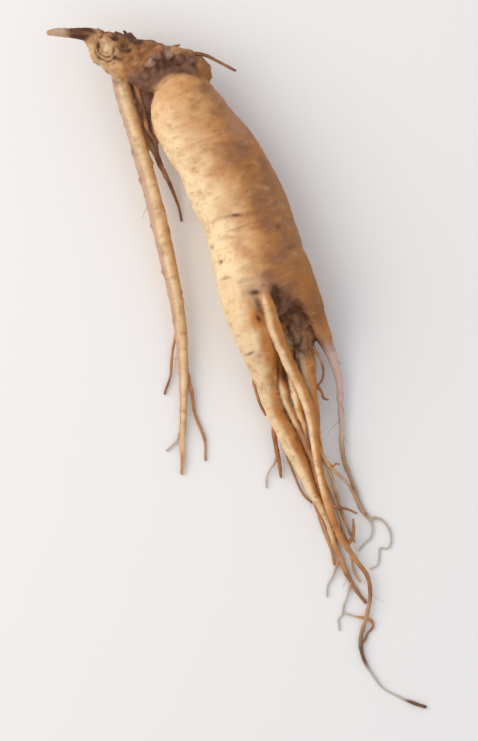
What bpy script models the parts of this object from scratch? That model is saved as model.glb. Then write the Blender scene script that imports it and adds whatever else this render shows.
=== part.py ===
"""A fresh ginseng root lying on its side, as one solid. Metres, +Z up.

The root points along Y: its crown is at +Y and its rootlets trail towards -Y.
The surface it lies on is the plane z = 0, and the origin is on that plane, in the
small flat spot under the middle of the body.
"""

import math

import bpy
import numpy as np

MM = 0.001

# Driving dimensions, in millimetres
BODY_RADIUS = 15.2          # the body at its widest, just above the fork
BODY_FLATNESS = 0.94        # height of the body's section over its width
BELLY_DIP = 0.8             # how much of the belly the flat spot takes off
CROWN_Y = 52.0              # where the body closes under its crown
FORK_Y = -31.0              # where the body ends between its legs

# Relief of the body: waves of the skin across the axis, (height, length along Y, twist round the body)
SKIN_WAVES = ((0.22, 9.7, 1.3), (0.16, 5.3, 2.1), (0.10, 3.4, 0.8))
RELIEF_FADE = 9.0           # the waves die out over this length at both ends
BELLY_FADE = 0.4            # and towards the belly, over this share of half the body's height

# How finely each thickness of strand is divided
BODY_SIDES = 24
BODY_STEP = 2.2
THICK_SIDES = 12
MEDIUM_SIDES = 8
THIN_SIDES = 5
THICK_RADIUS = 3.5          # strands that reach this radius are thick
MEDIUM_RADIUS = 1.4         # strands that reach this one are medium
STEP_PER_RADIUS = 1.5       # rings this many radii apart, within the two limits below
SHORTEST_STEP = 2.25
LONGEST_STEP = 4.4

SKIN_COLOUR = (0.62, 0.42, 0.22, 1.0)
SKIN_ROUGHNESS = 0.6

# The body: share of the way from crown to fork, sideways place of its axis, gap under it, share of BODY_RADIUS
BODY = (
    (-0.006, -9.4, 10.6, 0.2),
    (0.005, -9.2, 8.4, 0.355),
    (0.024, -8.8, 6.9, 0.474),
    (0.048, -8.3, 5.7, 0.579),
    (0.084, -7.9, 4.8, 0.672),
    (0.145, -7.4, 3.7, 0.78),
    (0.205, -6.5, 2.9, 0.818),
    (0.267, -5.0, 2.4, 0.84),
    (0.328, -3.1, 1.7, 0.86),
    (0.389, -2.1, 0.7, 0.9),
    (0.485, -1.0, -0.2, 0.934),
    (0.582, 0.2, -BELLY_DIP, 0.93),
    (0.679, 0.1, -BELLY_DIP, 0.94),
    (0.776, -0.4, -BELLY_DIP, 0.965),
    (0.850, -1.0, -0.1, 0.94),
    (0.900, -2.1, 1.3, 0.84),
    (0.945, -3.3, 3.7, 0.69),
    (0.978, -4.1, 6.6, 0.5),
    (1.000, -4.5, 9.2, 0.3),
)

# Every other strand: its axis as (x, y, z) and its radius there, in millimetres, from where it grows to its tip.
# The first point or two lie well inside what it grows from.
CROWN = {
    "rhizome": (
        (-8.6, 45.0, 12.6, 5.6),
        (-9.4, 50.4, 12.0, 6.8),
        (-11.4, 54.6, 13.2, 8.2),
        (-16.2, 58.8, 15.0, 7.5),
        (-20.8, 61.8, 15.4, 6.7),
        (-24.2, 65.2, 15.7, 6.0),
        (-26.7, 68.2, 16.1, 4.8),
        (-28.2, 70.6, 16.6, 3.3),
    ),
    "scar_lip": (
        (-29.6, 64.8, 16.8, 1.9),
        (-27.6, 66.9, 19.0, 2.5),
        (-24.8, 68.6, 19.0, 2.0),
        (-23.6, 69.4, 17.4, 1.2),
    ),
    "bud_knob": (
        (-22.6, 62.4, 19.4, 2.0),
        (-20.4, 65.0, 20.3, 2.5),
        (-18.2, 67.0, 18.6, 2.1),
        (-17.0, 68.2, 16.6, 1.2),
    ),
    "neck_knob": (
        (-15.4, 57.0, 20.4, 1.9),
        (-13.0, 58.4, 21.6, 2.2),
        (-10.4, 60.2, 20.4, 1.9),
        (-9.0, 61.2, 18.6, 1.2),
    ),
    "stem_stub": (
        (-26.6, 69.4, 16.4, 3.0),
        (-29.0, 72.0, 17.4, 2.4),
        (-32.0, 73.4, 18.0, 1.95),
        (-35.5, 74.7, 18.6, 1.55),
        (-39.0, 76.1, 19.2, 1.3),
        (-41.0, 76.8, 19.6, 0.9),
    ),
    "side_root": (
        (-20.8, 62.0, 14.8, 3.8),
        (-24.2, 57.0, 14.0, 3.3),
        (-25.4, 51.0, 13.2, 2.8),
        (-25.6, 44.0, 12.2, 2.7),
        (-25.8, 36.0, 11.0, 2.8),
        (-25.9, 27.0, 9.8, 2.8),
        (-26.3, 16.0, 8.5, 2.8),
        (-27.2, 4.0, 7.2, 2.7),
        (-28.4, -9.0, 5.8, 2.5),
        (-30.2, -22.0, 4.4, 2.2),
        (-33.2, -35.0, 3.2, 1.8),
        (-37.0, -47.0, 2.2, 1.4),
        (-40.8, -58.0, 1.4, 1.0),
        (-44.4, -69.0, 0.8, 0.6),
    ),
    "nub": (
        (-3.8, 54.6, 15.4, 3.4),
        (-0.4, 53.2, 16.8, 2.9),
        (1.5, 50.6, 17.2, 2.6),
        (1.9, 48.2, 16.8, 1.9),
    ),
    "left_collar": (
        (-16.0, 55.5, 12.0, 3.4),
        (-17.6, 51.6, 11.6, 3.4),
        (-18.6, 47.0, 10.8, 2.9),
        (-19.5, 42.5, 9.8, 2.0),
        (-19.7, 38.0, 9.0, 1.4),
        (-19.5, 34.0, 8.2, 1.0),
    ),
    "neck_cord": (
        (-20.2, 54.0, 12.8, 1.38),
        (-21.3, 48.0, 11.8, 1.38),
        (-21.7, 41.0, 10.4, 1.25),
        (-21.4, 34.0, 9.0, 1.05),
        (-20.6, 27.0, 7.0, 0.85),
        (-19.8, 20.0, 4.6, 0.65),
        (-19.3, 13.0, 2.2, 0.45),
        (-19.8, 8.0, 0.8, 0.4),
    ),
    "collar_ridge": (
        (-15.0, 55.0, 20.8, 1.8),
        (-11.5, 57.6, 21.2, 1.5),
        (-8.4, 58.8, 20.4, 1.2),
        (-5.0, 59.2, 18.8, 1.0),
        (-2.0, 58.4, 17.8, 1.0),
        (-0.4, 56.6, 17.4, 1.2),
        (-0.8, 54.0, 17.8, 1.5),
    ),
    "collar_bud": (
        (-8.6, 55.6, 17.0, 2.6),
        (-6.4, 57.2, 17.6, 2.2),
        (-3.8, 57.0, 17.0, 2.1),
        (-2.2, 55.6, 16.6, 1.8),
    ),
    "crown_rootlet": (
        (-3.0, 56.6, 16.8, 1.0),
        (0.8, 56.2, 17.4, 0.65),
        (4.0, 54.6, 17.5, 0.55),
        (6.6, 52.3, 17.0, 0.5),
        (9.0, 49.8, 16.0, 0.5),
        (11.2, 47.5, 15.0, 0.42),
    ),
}

LEGS = {
    "left_leg": (
        (-5.4, -8.0, 15.8, 7.6),
        (-6.0, -16.0, 16.4, 9.4),
        (-7.0, -24.0, 16.4, 8.9),
        (-8.1, -32.0, 14.8, 7.7),
        (-9.0, -40.0, 12.0, 5.9),
        (-9.4, -46.0, 9.8, 4.6),
        (-9.7, -52.0, 7.8, 3.7),
        (-10.0, -58.0, 6.3, 3.1),
        (-9.6, -63.5, 5.4, 3.0),
        (-8.6, -69.0, 5.0, 3.1),
        (-7.8, -75.0, 4.4, 2.8),
        (-7.1, -81.0, 3.8, 2.4),
        (-6.6, -87.0, 3.1, 1.9),
        (-5.5, -93.0, 2.5, 1.45),
        (-4.9, -100.0, 2.0, 1.25),
        (-4.9, -108.0, 1.6, 1.0),
        (-4.3, -115.0, 1.4, 1.0),
        (-3.2, -121.0, 1.1, 0.8),
        (-1.7, -126.5, 0.7, 0.45),
    ),
    "right_lobe": (
        (4.6, -14.0, 10.6, 8.0),
        (4.8, -24.0, 10.0, 7.6),
        (4.8, -32.0, 8.8, 6.6),
        (4.5, -38.5, 8.0, 5.4),
        (3.9, -44.5, 7.8, 4.2),
        (3.2, -50.0, 7.6, 3.2),
        (2.5, -56.0, 7.4, 2.5),
        (1.9, -61.5, 6.9, 1.9),
        (1.4, -67.0, 6.4, 1.1),
        (0.9, -71.0, 6.0, 0.6),
    ),
    "right_leg": (
        (7.0, -9.0, 13.6, 6.4),
        (8.3, -18.0, 15.4, 6.7),
        (9.6, -26.0, 14.8, 5.5),
        (10.7, -33.0, 12.4, 4.0),
        (11.7, -39.5, 9.2, 2.9),
        (12.3, -45.0, 6.6, 2.1),
        (12.7, -51.0, 4.8, 1.6),
        (12.4, -56.0, 3.8, 1.3),
        (11.2, -61.0, 3.2, 1.1),
        (9.7, -66.0, 2.7, 0.95),
        (8.5, -71.0, 2.3, 0.9),
        (6.9, -76.0, 2.0, 0.8),
        (6.1, -82.0, 1.7, 0.75),
        (6.3, -88.0, 1.4, 0.75),
        (6.2, -94.0, 1.15, 0.75),
        (6.7, -98.0, 1.0, 0.8),
        (7.9, -101.3, 0.9, 0.62),
        (9.6, -101.5, 0.8, 0.5),
        (11.6, -103.0, 0.7, 0.45),
        (12.9, -106.5, 0.6, 0.42),
        (12.6, -110.4, 0.6, 0.4),
        (10.6, -112.3, 0.6, 0.38),
        (8.2, -111.5, 0.6, 0.36),
        (7.2, -113.8, 0.6, 0.35),
        (5.9, -116.5, 0.6, 0.34),
        (3.2, -117.0, 0.6, 0.3),
    ),
    "front_leg": (
        (-3.0, -15.0, 23.2, 1.6),
        (-2.8, -20.0, 25.2, 2.0),
        (-2.6, -26.0, 24.6, 2.2),
        (-2.3, -33.0, 21.6, 2.2),
        (-1.8, -40.0, 17.8, 2.1),
        (-1.0, -46.5, 14.9, 2.0),
        (-0.2, -51.5, 13.2, 1.9),
        (0.7, -56.0, 11.7, 1.9),
        (0.9, -62.0, 10.2, 1.8),
        (0.2, -68.0, 9.2, 1.6),
        (-0.8, -75.0, 8.6, 1.45),
        (-1.9, -82.0, 7.4, 1.35),
        (-2.7, -89.0, 6.4, 1.3),
        (-3.0, -96.0, 5.4, 1.3),
        (-2.7, -103.0, 4.5, 1.2),
        (-1.7, -108.0, 3.9, 1.1),
        (0.0, -112.5, 3.3, 1.0),
        (1.3, -117.0, 2.7, 0.9),
        (1.4, -121.0, 2.2, 0.8),
        (0.2, -126.0, 1.7, 0.72),
        (-2.2, -130.5, 1.3, 0.66),
        (-4.8, -134.0, 1.1, 0.62),
        (-6.7, -138.0, 0.95, 0.68),
        (-7.5, -142.5, 0.85, 0.66),
        (-7.0, -148.0, 0.7, 0.5),
        (-5.0, -153.3, 0.6, 0.42),
        (-1.6, -157.6, 0.55, 0.4),
        (2.4, -161.2, 0.55, 0.44),
        (6.3, -164.2, 0.6, 0.46),
    ),
    "under_leg": (
        (2.6, -32.0, 6.6, 4.4),
        (1.4, -42.0, 3.6, 2.6),
        (-0.6, -52.0, 2.0, 1.6),
        (-2.8, -64.0, 1.4, 1.1),
        (-4.4, -77.0, 1.2, 0.9),
        (-6.4, -88.0, 1.0, 0.8),
        (-7.0, -97.0, 0.85, 0.65),
        (-6.6, -106.0, 0.7, 0.5),
        (-7.4, -112.0, 0.6, 0.4),
    ),
    "middle_leg": (
        (-5.2, -42.0, 10.0, 2.6),
        (-5.7, -49.0, 9.2, 1.9),
        (-5.5, -53.0, 8.8, 2.0),
        (-5.9, -57.0, 7.6, 1.3),
        (-4.9, -65.0, 6.0, 1.0),
        (-4.2, -72.0, 5.2, 0.95),
        (-3.8, -79.0, 4.7, 0.9),
        (-4.0, -86.0, 4.3, 0.9),
        (-3.7, -93.0, 3.9, 0.8),
        (-3.0, -99.0, 3.2, 0.75),
        (-2.1, -104.5, 2.5, 0.6),
        (-1.2, -109.5, 1.8, 0.4),
    ),
    "knobbed_leg": (
        (-0.6, -47.0, 10.4, 2.4),
        (-1.7, -53.0, 9.8, 1.9),
        (-2.1, -57.0, 8.8, 1.8),
        (-2.6, -61.0, 7.8, 1.2),
        (-3.1, -67.0, 6.8, 0.8),
        (-3.3, -74.0, 6.2, 0.5),
    ),
}

ROOTLETS = {
    "side_tip": (
        (-33.4, -36.0, 3.1, 1.4),
        (-33.6, -44.0, 2.0, 0.7),
        (-34.8, -52.0, 1.2, 0.55),
        (-34.4, -60.0, 0.8, 0.45),
        (-36.2, -67.0, 0.6, 0.35),
    ),
    "side_whisker": (
        (-29.4, -16.0, 5.0, 1.6),
        (-31.8, -24.0, 3.6, 0.62),
        (-35.6, -31.0, 2.2, 0.5),
        (-38.2, -38.0, 1.2, 0.42),
        (-42.0, -43.0, 0.7, 0.34),
    ),
    "side_hair": (
        (-39.6, -54.6, 1.6, 0.8),
        (-43.0, -58.6, 1.0, 0.45),
        (-47.0, -60.6, 0.6, 0.34),
    ),
    "left_edge": (
        (-11.0, -40.0, 9.5, 1.0),
        (-13.6, -48.0, 7.6, 0.6),
        (-13.9, -54.0, 6.2, 0.5),
        (-13.4, -59.5, 5.0, 0.42),
    ),
    "left_spur": (
        (-10.0, -60.0, 5.0, 1.3),
        (-12.4, -65.0, 4.2, 1.0),
        (-13.4, -70.0, 3.2, 0.85),
        (-14.1, -75.0, 2.2, 0.7),
        (-14.9, -80.0, 1.1, 0.45),
    ),
    "left_whisker": (
        (-13.2, -71.5, 2.8, 0.6),
        (-15.3, -75.0, 2.0, 0.45),
        (-17.5, -76.7, 1.4, 0.4),
        (-19.4, -78.7, 0.9, 0.36),
        (-20.3, -81.6, 0.6, 0.3),
    ),
    "left_hair": (
        (-9.2, -68.0, 3.8, 0.8),
        (-10.9, -75.0, 2.6, 0.5),
        (-10.5, -82.0, 1.6, 0.4),
        (-9.8, -87.5, 0.9, 0.42),
        (-8.2, -90.6, 0.7, 0.35),
    ),
    "right_twig": (
        (-0.8, -74.0, 8.6, 0.9),
        (0.6, -79.6, 7.4, 0.62),
        (1.8, -82.8, 6.2, 0.52),
        (3.9, -86.6, 4.5, 0.46),
        (5.4, -91.0, 2.6, 0.44),
        (6.2, -95.5, 1.4, 0.5),
    ),
    "right_hook": (
        (0.9, -80.6, 7.0, 0.5),
        (2.0, -81.6, 7.2, 0.42),
        (3.2, -81.0, 7.3, 0.36),
        (4.2, -81.6, 7.1, 0.3),
    ),
    "bundle_outer": (
        (-0.8, -73.0, 7.8, 0.9),
        (0.2, -83.0, 5.4, 0.62),
        (0.3, -90.0, 4.2, 0.54),
        (0.1, -96.0, 3.2, 0.52),
        (0.4, -102.0, 2.2, 0.46),
        (1.1, -107.0, 1.4, 0.36),
    ),
    "bundle_inner": (
        (-1.9, -80.0, 7.0, 0.9),
        (-1.2, -91.0, 4.7, 0.64),
        (-0.7, -98.0, 3.4, 0.58),
        (-1.3, -104.0, 2.4, 0.58),
        (-1.3, -110.0, 1.6, 0.5),
        (-1.9, -115.0, 1.1, 0.4),
        (-1.1, -119.5, 0.8, 0.32),
    ),
    "cross_twig": (
        (-3.4, -92.4, 5.8, 0.7),
        (-0.3, -94.7, 5.0, 0.46),
        (2.4, -96.2, 3.8, 0.42),
        (4.7, -98.4, 2.6, 0.34),
    ),
    "bundle_spur": (
        (-1.8, -107.0, 3.6, 0.8),
        (0.6, -105.6, 3.4, 0.6),
        (2.0, -102.8, 3.2, 0.55),
        (2.9, -99.8, 3.0, 0.36),
    ),
    "right_curl": (
        (7.2, -99.4, 1.0, 0.6),
        (8.2, -103.8, 0.8, 0.42),
        (6.7, -107.3, 0.7, 0.38),
        (3.8, -108.8, 0.65, 0.34),
        (1.7, -110.3, 0.6, 0.3),
    ),
    "lobe_hook": (
        (3.4, -54.0, 7.4, 1.0),
        (5.6, -57.0, 6.4, 0.5),
        (5.8, -59.8, 5.6, 0.42),
        (7.0, -60.8, 5.0, 0.34),
    ),
    "lobe_loop": (
        (4.6, -56.0, 6.9, 0.5),
        (7.0, -54.4, 6.9, 0.42),
        (8.5, -51.2, 7.2, 0.4),
        (8.6, -47.4, 7.8, 0.46),
        (7.4, -43.6, 8.6, 0.7),
    ),
    "tail_curl": (
        (-4.6, -109.4, 1.5, 0.7),
        (-6.8, -113.0, 1.1, 0.48),
        (-9.0, -115.6, 0.8, 0.44),
        (-11.3, -117.6, 0.65, 0.4),
        (-12.8, -121.0, 0.55, 0.32),
    ),
    "tail_whisker": (
        (-3.7, -118.4, 1.2, 0.6),
        (-6.8, -123.2, 0.8, 0.4),
        (-8.4, -125.4, 0.65, 0.36),
        (-9.4, -128.0, 0.6, 0.34),
        (-11.5, -129.2, 0.55, 0.34),
        (-12.3, -132.2, 0.5, 0.28),
    ),
    "tail_knee": (
        (-2.8, -131.4, 1.3, 0.5),
        (-1.5, -132.8, 1.0, 0.44),
        (-1.6, -134.9, 0.8, 0.4),
        (-3.6, -136.2, 0.75, 0.38),
        (-5.2, -137.8, 0.8, 0.4),
        (-6.9, -138.6, 0.9, 0.4),
    ),
    "tail_cross": (
        (-3.2, -131.2, 1.3, 0.5),
        (-6.2, -129.7, 0.9, 0.36),
        (-9.6, -127.4, 0.7, 0.34),
    ),
}


def clear_scene():
    for item in list(bpy.data.objects):
        bpy.data.objects.remove(item)


def smooth_path(points, step):
    """Catmull-Rom curve through (x, y, z, radius) points, as rows about `step` apart."""
    points = np.array(points, float)
    padded = np.vstack([2 * points[0] - points[1], points, 2 * points[-1] - points[-2]])
    rows = []
    for before, start, end, after in zip(padded, padded[1:], padded[2:], padded[3:]):
        pieces = max(1, round(float(np.linalg.norm((end - start)[:3])) / step))
        share = np.arange(pieces)[:, None] / pieces
        rows.append(
            0.5
            * (
                2 * start
                + (end - before) * share
                + (2 * before - 5 * start + 4 * end - after) * share**2
                + (3 * start - before - 3 * end + after) * share**3
            )
        )
    rows.append(points[-1:])
    return np.vstack(rows)


def body_path():
    """The body's axis and radius, worked out from the driving dimensions."""
    length = CROWN_Y - FORK_Y
    points = []
    for share, x, gap, width in BODY:
        radius = width * BODY_RADIUS
        points.append((x, CROWN_Y - share * length, gap + radius * BODY_FLATNESS, radius))
    return points


def skin_waves(y, angle):
    """Height of the skin's cross waves at a place along the body and an angle round it."""
    height = sum(
        size * np.sin(2 * math.pi * y / length + twist * np.sin(angle + length))
        for size, length, twist in SKIN_WAVES
    )
    from_ends = np.minimum(CROWN_Y - y, y - FORK_Y)
    from_belly = 1 + np.sin(angle)
    return height * np.clip(from_ends / RELIEF_FADE, 0, 1) * np.clip(from_belly / BELLY_FADE, 0, 1)


def ring_frames(path):
    """Unit vectors across each ring of a path: one level, one standing up."""
    along = np.gradient(path[:, :3], axis=0)
    along /= np.linalg.norm(along, axis=1, keepdims=True)
    level = np.cross(along, (0.0, 0.0, 1.0))
    level /= np.linalg.norm(level, axis=1, keepdims=True)
    return level, np.cross(level, along)


def tube(name, path, sides, flatness=1.0, relief=None):
    """A closed tube round a path of (x, y, z, radius) rows, pointed at both ends."""
    level, upright = ring_frames(path)
    angle = np.arange(sides) * 2 * math.pi / sides
    radius = np.repeat(path[:, 3:4], sides, axis=1)
    if relief:
        radius = radius + relief(path[:, 1:2], angle[None, :])
    across = (radius * np.cos(angle))[..., None] * level[:, None, :]
    up = (radius * np.sin(angle) * flatness)[..., None] * upright[:, None, :]
    rings = path[:, None, :3] + across + up
    # Each end closes on a point half a radius beyond its last ring
    step_out = path[[0, -1], :3] - path[[1, -2], :3]
    step_out /= np.linalg.norm(step_out, axis=1, keepdims=True)
    ends = path[[0, -1], :3] + step_out * path[[0, -1], 3:4] * 0.5
    verts = np.vstack([rings.reshape(-1, 3), ends]) * MM

    count = len(path)
    faces = []
    for i in range(count - 1):
        for j in range(sides):
            k = (j + 1) % sides
            faces.append((i * sides + j, i * sides + k, (i + 1) * sides + k, (i + 1) * sides + j))
    start, end = count * sides, count * sides + 1
    last = (count - 1) * sides
    for j in range(sides):
        k = (j + 1) % sides
        faces.append((start, k, j))
        faces.append((end, last + j, last + k))
    mesh = bpy.data.meshes.new(name)
    mesh.from_pydata(verts.tolist(), [], faces)
    mesh.update()
    item = bpy.data.objects.new(name, mesh)
    bpy.context.scene.collection.objects.link(item)
    return item


def strand(name, points):
    """A leg or rootlet, divided as finely as its thickness needs."""
    widest = max(point[3] for point in points)
    middle = float(np.median([point[3] for point in points]))
    step = min(LONGEST_STEP, max(SHORTEST_STEP, STEP_PER_RADIUS * middle))
    sides = THIN_SIDES
    if widest >= MEDIUM_RADIUS:
        sides = MEDIUM_SIDES
    if widest >= THICK_RADIUS:
        sides = THICK_SIDES
    return tube(name, smooth_path(points, step), sides)


def skin_material():
    material = bpy.data.materials.new("ginseng_skin")
    material.use_nodes = True
    shader = material.node_tree.nodes["Principled BSDF"]
    shader.inputs["Base Color"].default_value = SKIN_COLOUR
    shader.inputs["Roughness"].default_value = SKIN_ROUGHNESS
    shader.inputs["Metallic"].default_value = 0.0
    return material


def apply_modifier(item):
    """Replaces an object's mesh by its evaluated one and drops its modifiers."""
    graph = bpy.context.evaluated_depsgraph_get()
    evaluated = bpy.data.meshes.new_from_object(item.evaluated_get(graph))
    item.modifiers.clear()
    item.data = evaluated


def fuse(base, others):
    """Joins the other solids to the base in one Boolean union, and removes them."""
    grown = bpy.data.collections.new("grown")
    bpy.context.scene.collection.children.link(grown)
    for item in others:
        bpy.context.scene.collection.objects.unlink(item)
        grown.objects.link(item)
    union = base.modifiers.new("union", "BOOLEAN")
    union.operation = "UNION"
    union.operand_type = "COLLECTION"
    union.collection = grown
    union.solver = "EXACT"
    apply_modifier(base)
    for item in others:
        bpy.data.objects.remove(item)
    bpy.data.collections.remove(grown)


def cut_flat_spot(base):
    """Takes off whatever is below the surface, which leaves the flat spot under the belly."""
    depth, reach = 20.0 * MM, 400.0 * MM
    bpy.ops.mesh.primitive_cube_add(size=1.0, location=(0.0, 0.0, -depth / 2))
    ground = bpy.context.active_object
    ground.name = "ground"
    ground.scale = (reach, reach, depth)
    bpy.ops.object.transform_apply(location=False, rotation=False, scale=True)
    cut = base.modifiers.new("flat_spot", "BOOLEAN")
    cut.operation = "DIFFERENCE"
    cut.object = ground
    cut.solver = "EXACT"
    bpy.context.view_layer.update()
    apply_modifier(base)
    bpy.data.objects.remove(ground)


def main():
    clear_scene()
    body = tube("ginseng_root", smooth_path(body_path(), BODY_STEP), BODY_SIDES, BODY_FLATNESS, skin_waves)
    grown = [
        strand(name, points)
        for group in (CROWN, LEGS, ROOTLETS)
        for name, points in group.items()
    ]
    fuse(body, grown)
    cut_flat_spot(body)
    body.data.materials.clear()
    body.data.materials.append(skin_material())
    body.data.shade_smooth()


main()
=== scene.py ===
import math

import bpy
import numpy as np
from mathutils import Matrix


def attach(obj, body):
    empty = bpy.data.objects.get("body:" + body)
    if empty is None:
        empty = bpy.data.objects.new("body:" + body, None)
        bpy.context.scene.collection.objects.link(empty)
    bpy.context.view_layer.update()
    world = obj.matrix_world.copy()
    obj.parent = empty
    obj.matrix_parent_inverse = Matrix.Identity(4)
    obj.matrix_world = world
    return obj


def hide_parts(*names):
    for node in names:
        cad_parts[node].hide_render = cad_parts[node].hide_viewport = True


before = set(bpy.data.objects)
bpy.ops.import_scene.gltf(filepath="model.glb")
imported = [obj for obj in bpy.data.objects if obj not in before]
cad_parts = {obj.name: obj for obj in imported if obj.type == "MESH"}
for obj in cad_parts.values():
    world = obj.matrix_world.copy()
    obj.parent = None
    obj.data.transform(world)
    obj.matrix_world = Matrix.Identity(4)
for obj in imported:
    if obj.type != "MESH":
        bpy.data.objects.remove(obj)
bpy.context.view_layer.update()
mm = 0.001


# General maths

def blendStep(low, high, value):
    # 0 below low, 1 above high, and the cubic 3t^2 - 2t^3 between them
    t = np.clip((value - low) / (high - low), 0, 1)
    return t * t * (3 - 2 * t)


def bump(value, width):
    # Bell curve: 1 at value 0, falling off over width to either side
    return np.exp(-((value / width) ** 2))


def cellNoise(points, seed):
    # Random heights from -1 to 1 on a lattice of unit cells, blended between the cell corners by a quintic
    cell = np.floor(points).astype(np.int64)
    t = points - cell
    t = t * t * t * (t * (t * 6 - 15) + 10)
    total = np.zeros(len(points))
    for corner in range(8):
        step = np.array([corner & 1, corner >> 1 & 1, corner >> 2 & 1])
        at = cell + step
        mixed = at[:, 0] * 73856093 ^ at[:, 1] * 19349663 ^ at[:, 2] * 83492791 ^ seed * 7919
        mixed = (mixed ^ mixed >> 13) * 1274126177
        mixed = mixed ^ mixed >> 16
        total += np.prod(np.where(step, t, 1 - t), axis=1) * ((mixed & 65535) / 32767.5 - 1)
    return total


def roughNoise(points, cell, seed, layers=3):
    # Layers of cell noise, each half the size and half the height of the one before
    return sum(cellNoise(points / cell * 2**k, seed + k) / 2**k for k in range(layers))


def smoothPath(points, spacing):
    # Catmull-Rom: the cubic through each pair of points whose slopes come from their neighbours; rows of x, y, z, r
    points = np.array(points, float)
    padded = np.vstack([2 * points[0] - points[1], points, 2 * points[-1] - points[-2]])
    rows = []
    for a, b, c, d in zip(padded, padded[1:], padded[2:], padded[3:]):
        pieces = max(1, round(float(np.linalg.norm((c - b)[:3])) / spacing))
        t = np.arange(pieces)[:, None] / pieces
        slope = (c - a) * t + (2 * a - 5 * b + 4 * c - d) * t**2 + (3 * b - a - 3 * c + d) * t**3
        rows.append(0.5 * (2 * b + slope))
    return np.vstack(rows + [points[-1:]])


def roundEnds(path):
    # Half a circle's profile added beyond both ends, so that a tube closes in a dome
    angles = np.radians([84, 68, 48, 26])
    parts = []
    for end, inner in ((path[0], path[1]), (path[-1], path[-2])):
        out = (end - inner)[:3] / np.linalg.norm((end - inner)[:3])
        cap = np.empty((4, 4))
        cap[:, :3] = end[:3] + out * end[3] * np.cos(angles)[:, None]
        cap[:, 3] = end[3] * np.sin(angles)
        parts.append(cap[::-1])
    return np.vstack([parts[0][::1][np.argsort(-np.linalg.norm(parts[0][:, :3] - path[0, :3], axis=1))], path,
                      parts[1][np.argsort(np.linalg.norm(parts[1][:, :3] - path[-1, :3], axis=1))]])


def pathFrames(path):
    # Two unit vectors across each ring, turned as little as possible from one ring to the next
    along = np.gradient(path[:, :3], axis=0)
    along /= np.maximum(np.linalg.norm(along, axis=1, keepdims=True), 1e-9)
    side = np.cross(along[0], (0.0, 0.0, 1.0))
    if np.linalg.norm(side) < 0.2:
        side = np.cross(along[0], (0.0, 1.0, 0.0))
    sides = []
    for direction in along:
        side = side - direction * side.dot(direction)
        side = side / np.linalg.norm(side)
        sides.append(side)
    sides = np.array(sides)
    return along, sides, np.cross(sides, along)


def carryRing(path, sides, flatness=1.0):
    # A circle carried along a path: centre + r (cos a * across + sin a * flatness * up), closed by a pole at each end
    along, across, up = pathFrames(path)
    angle = np.arange(sides) * 2 * math.pi / sides
    radius = path[:, 3, None, None]
    rings = path[:, None, :3] + radius * (
        np.cos(angle)[None, :, None] * across[:, None, :]
        + flatness * np.sin(angle)[None, :, None] * up[:, None, :]
    )
    poles = np.array([path[0, :3] - along[0] * path[0, 3] * 0.25, path[-1, :3] + along[-1] * path[-1, 3] * 0.25])
    verts = np.vstack([rings.reshape(-1, 3), poles])
    count = len(path)
    i, j = np.meshgrid(np.arange(count - 1), np.arange(sides), indexing="ij")
    k = (j + 1) % sides
    quads = np.stack([i * sides + j, i * sides + k, (i + 1) * sides + k, (i + 1) * sides + j], -1).reshape(-1, 4)
    j = np.arange(sides)
    k = (j + 1) % sides
    last = (count - 1) * sides
    first = np.stack([np.full(sides, count * sides), k, j], -1)
    final = np.stack([np.full(sides, count * sides + 1), last + j, last + k], -1)
    return verts, quads, np.vstack([first, final])


def meshObject(name, shapes):
    # Puts a list of (verts in mm, quads, triangles) into one mesh object
    verts, faces, start = [], [], 0
    for points, quads, triangles in shapes:
        verts.append(points)
        faces += (quads + start).tolist() + (triangles + start).tolist()
        start += len(points)
    mesh = bpy.data.meshes.new(name)
    mesh.from_pydata((np.vstack(verts) * mm).tolist(), [], faces)
    mesh.update()
    piece = bpy.data.objects.new(name, mesh)
    bpy.context.scene.collection.objects.link(piece)
    return piece


def readPoints(mesh):
    flat = np.empty(len(mesh.vertices) * 3)
    mesh.vertices.foreach_get("co", flat)
    return flat.reshape(-1, 3) / mm


def readNormals(mesh):
    flat = np.empty(len(mesh.vertices) * 3)
    mesh.vertices.foreach_get("normal", flat)
    return flat.reshape(-1, 3)


def writePoints(mesh, points):
    mesh.vertices.foreach_set("co", (points * mm).ravel())
    mesh.update()


def neighbourMean(values, edges, count):
    # Mean over each vertex's neighbours, the values given one column at a time
    ends = np.concatenate([edges[:, 0], edges[:, 1]])
    others = np.concatenate([edges[:, 1], edges[:, 0]])
    degree = np.maximum(np.bincount(ends, minlength=count), 1)
    columns = values.reshape(count, -1)
    mean = [np.bincount(ends, weights=column[others], minlength=count) / degree for column in columns.T]
    return np.stack(mean, -1).reshape(values.shape)


def relax(values, edges, count, rounds, share=0.5):
    for _ in range(rounds):
        values = values + share * (neighbourMean(values, edges, count) - values)
    return values


# The root's own shape. Rows are x, y, z and radius in millimetres, from where a strand grows to its tip

rootBody = {
    "crownY": 52.0,
    "forkY": -31.0,
    "radius": 15.2,
    "flatness": 0.94,
    "bellyDip": 0.8,
    # share of the way from crown to fork, x of the axis, gap under the body, share of the radius
    "rows": (
        (-0.006, -9.4, 10.6, 0.20), (0.005, -9.2, 8.4, 0.355), (0.024, -8.8, 6.9, 0.474), (0.048, -8.3, 5.7, 0.579),
        (0.084, -7.9, 4.8, 0.672), (0.145, -7.4, 3.7, 0.78), (0.205, -6.5, 2.9, 0.818), (0.267, -5.0, 2.4, 0.84),
        (0.328, -3.1, 1.7, 0.86), (0.389, -2.1, 0.7, 0.90), (0.485, -1.0, -0.2, 0.934), (0.582, 0.2, -0.8, 0.93),
        (0.679, 0.1, -0.8, 0.94), (0.776, -0.4, -0.8, 0.965), (0.850, -1.0, -0.1, 0.94), (0.900, -2.1, 1.3, 0.84),
        (0.945, -3.3, 3.7, 0.69), (0.978, -4.1, 6.6, 0.50), (1.000, -4.5, 9.2, 0.30),
    ),
}

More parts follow.
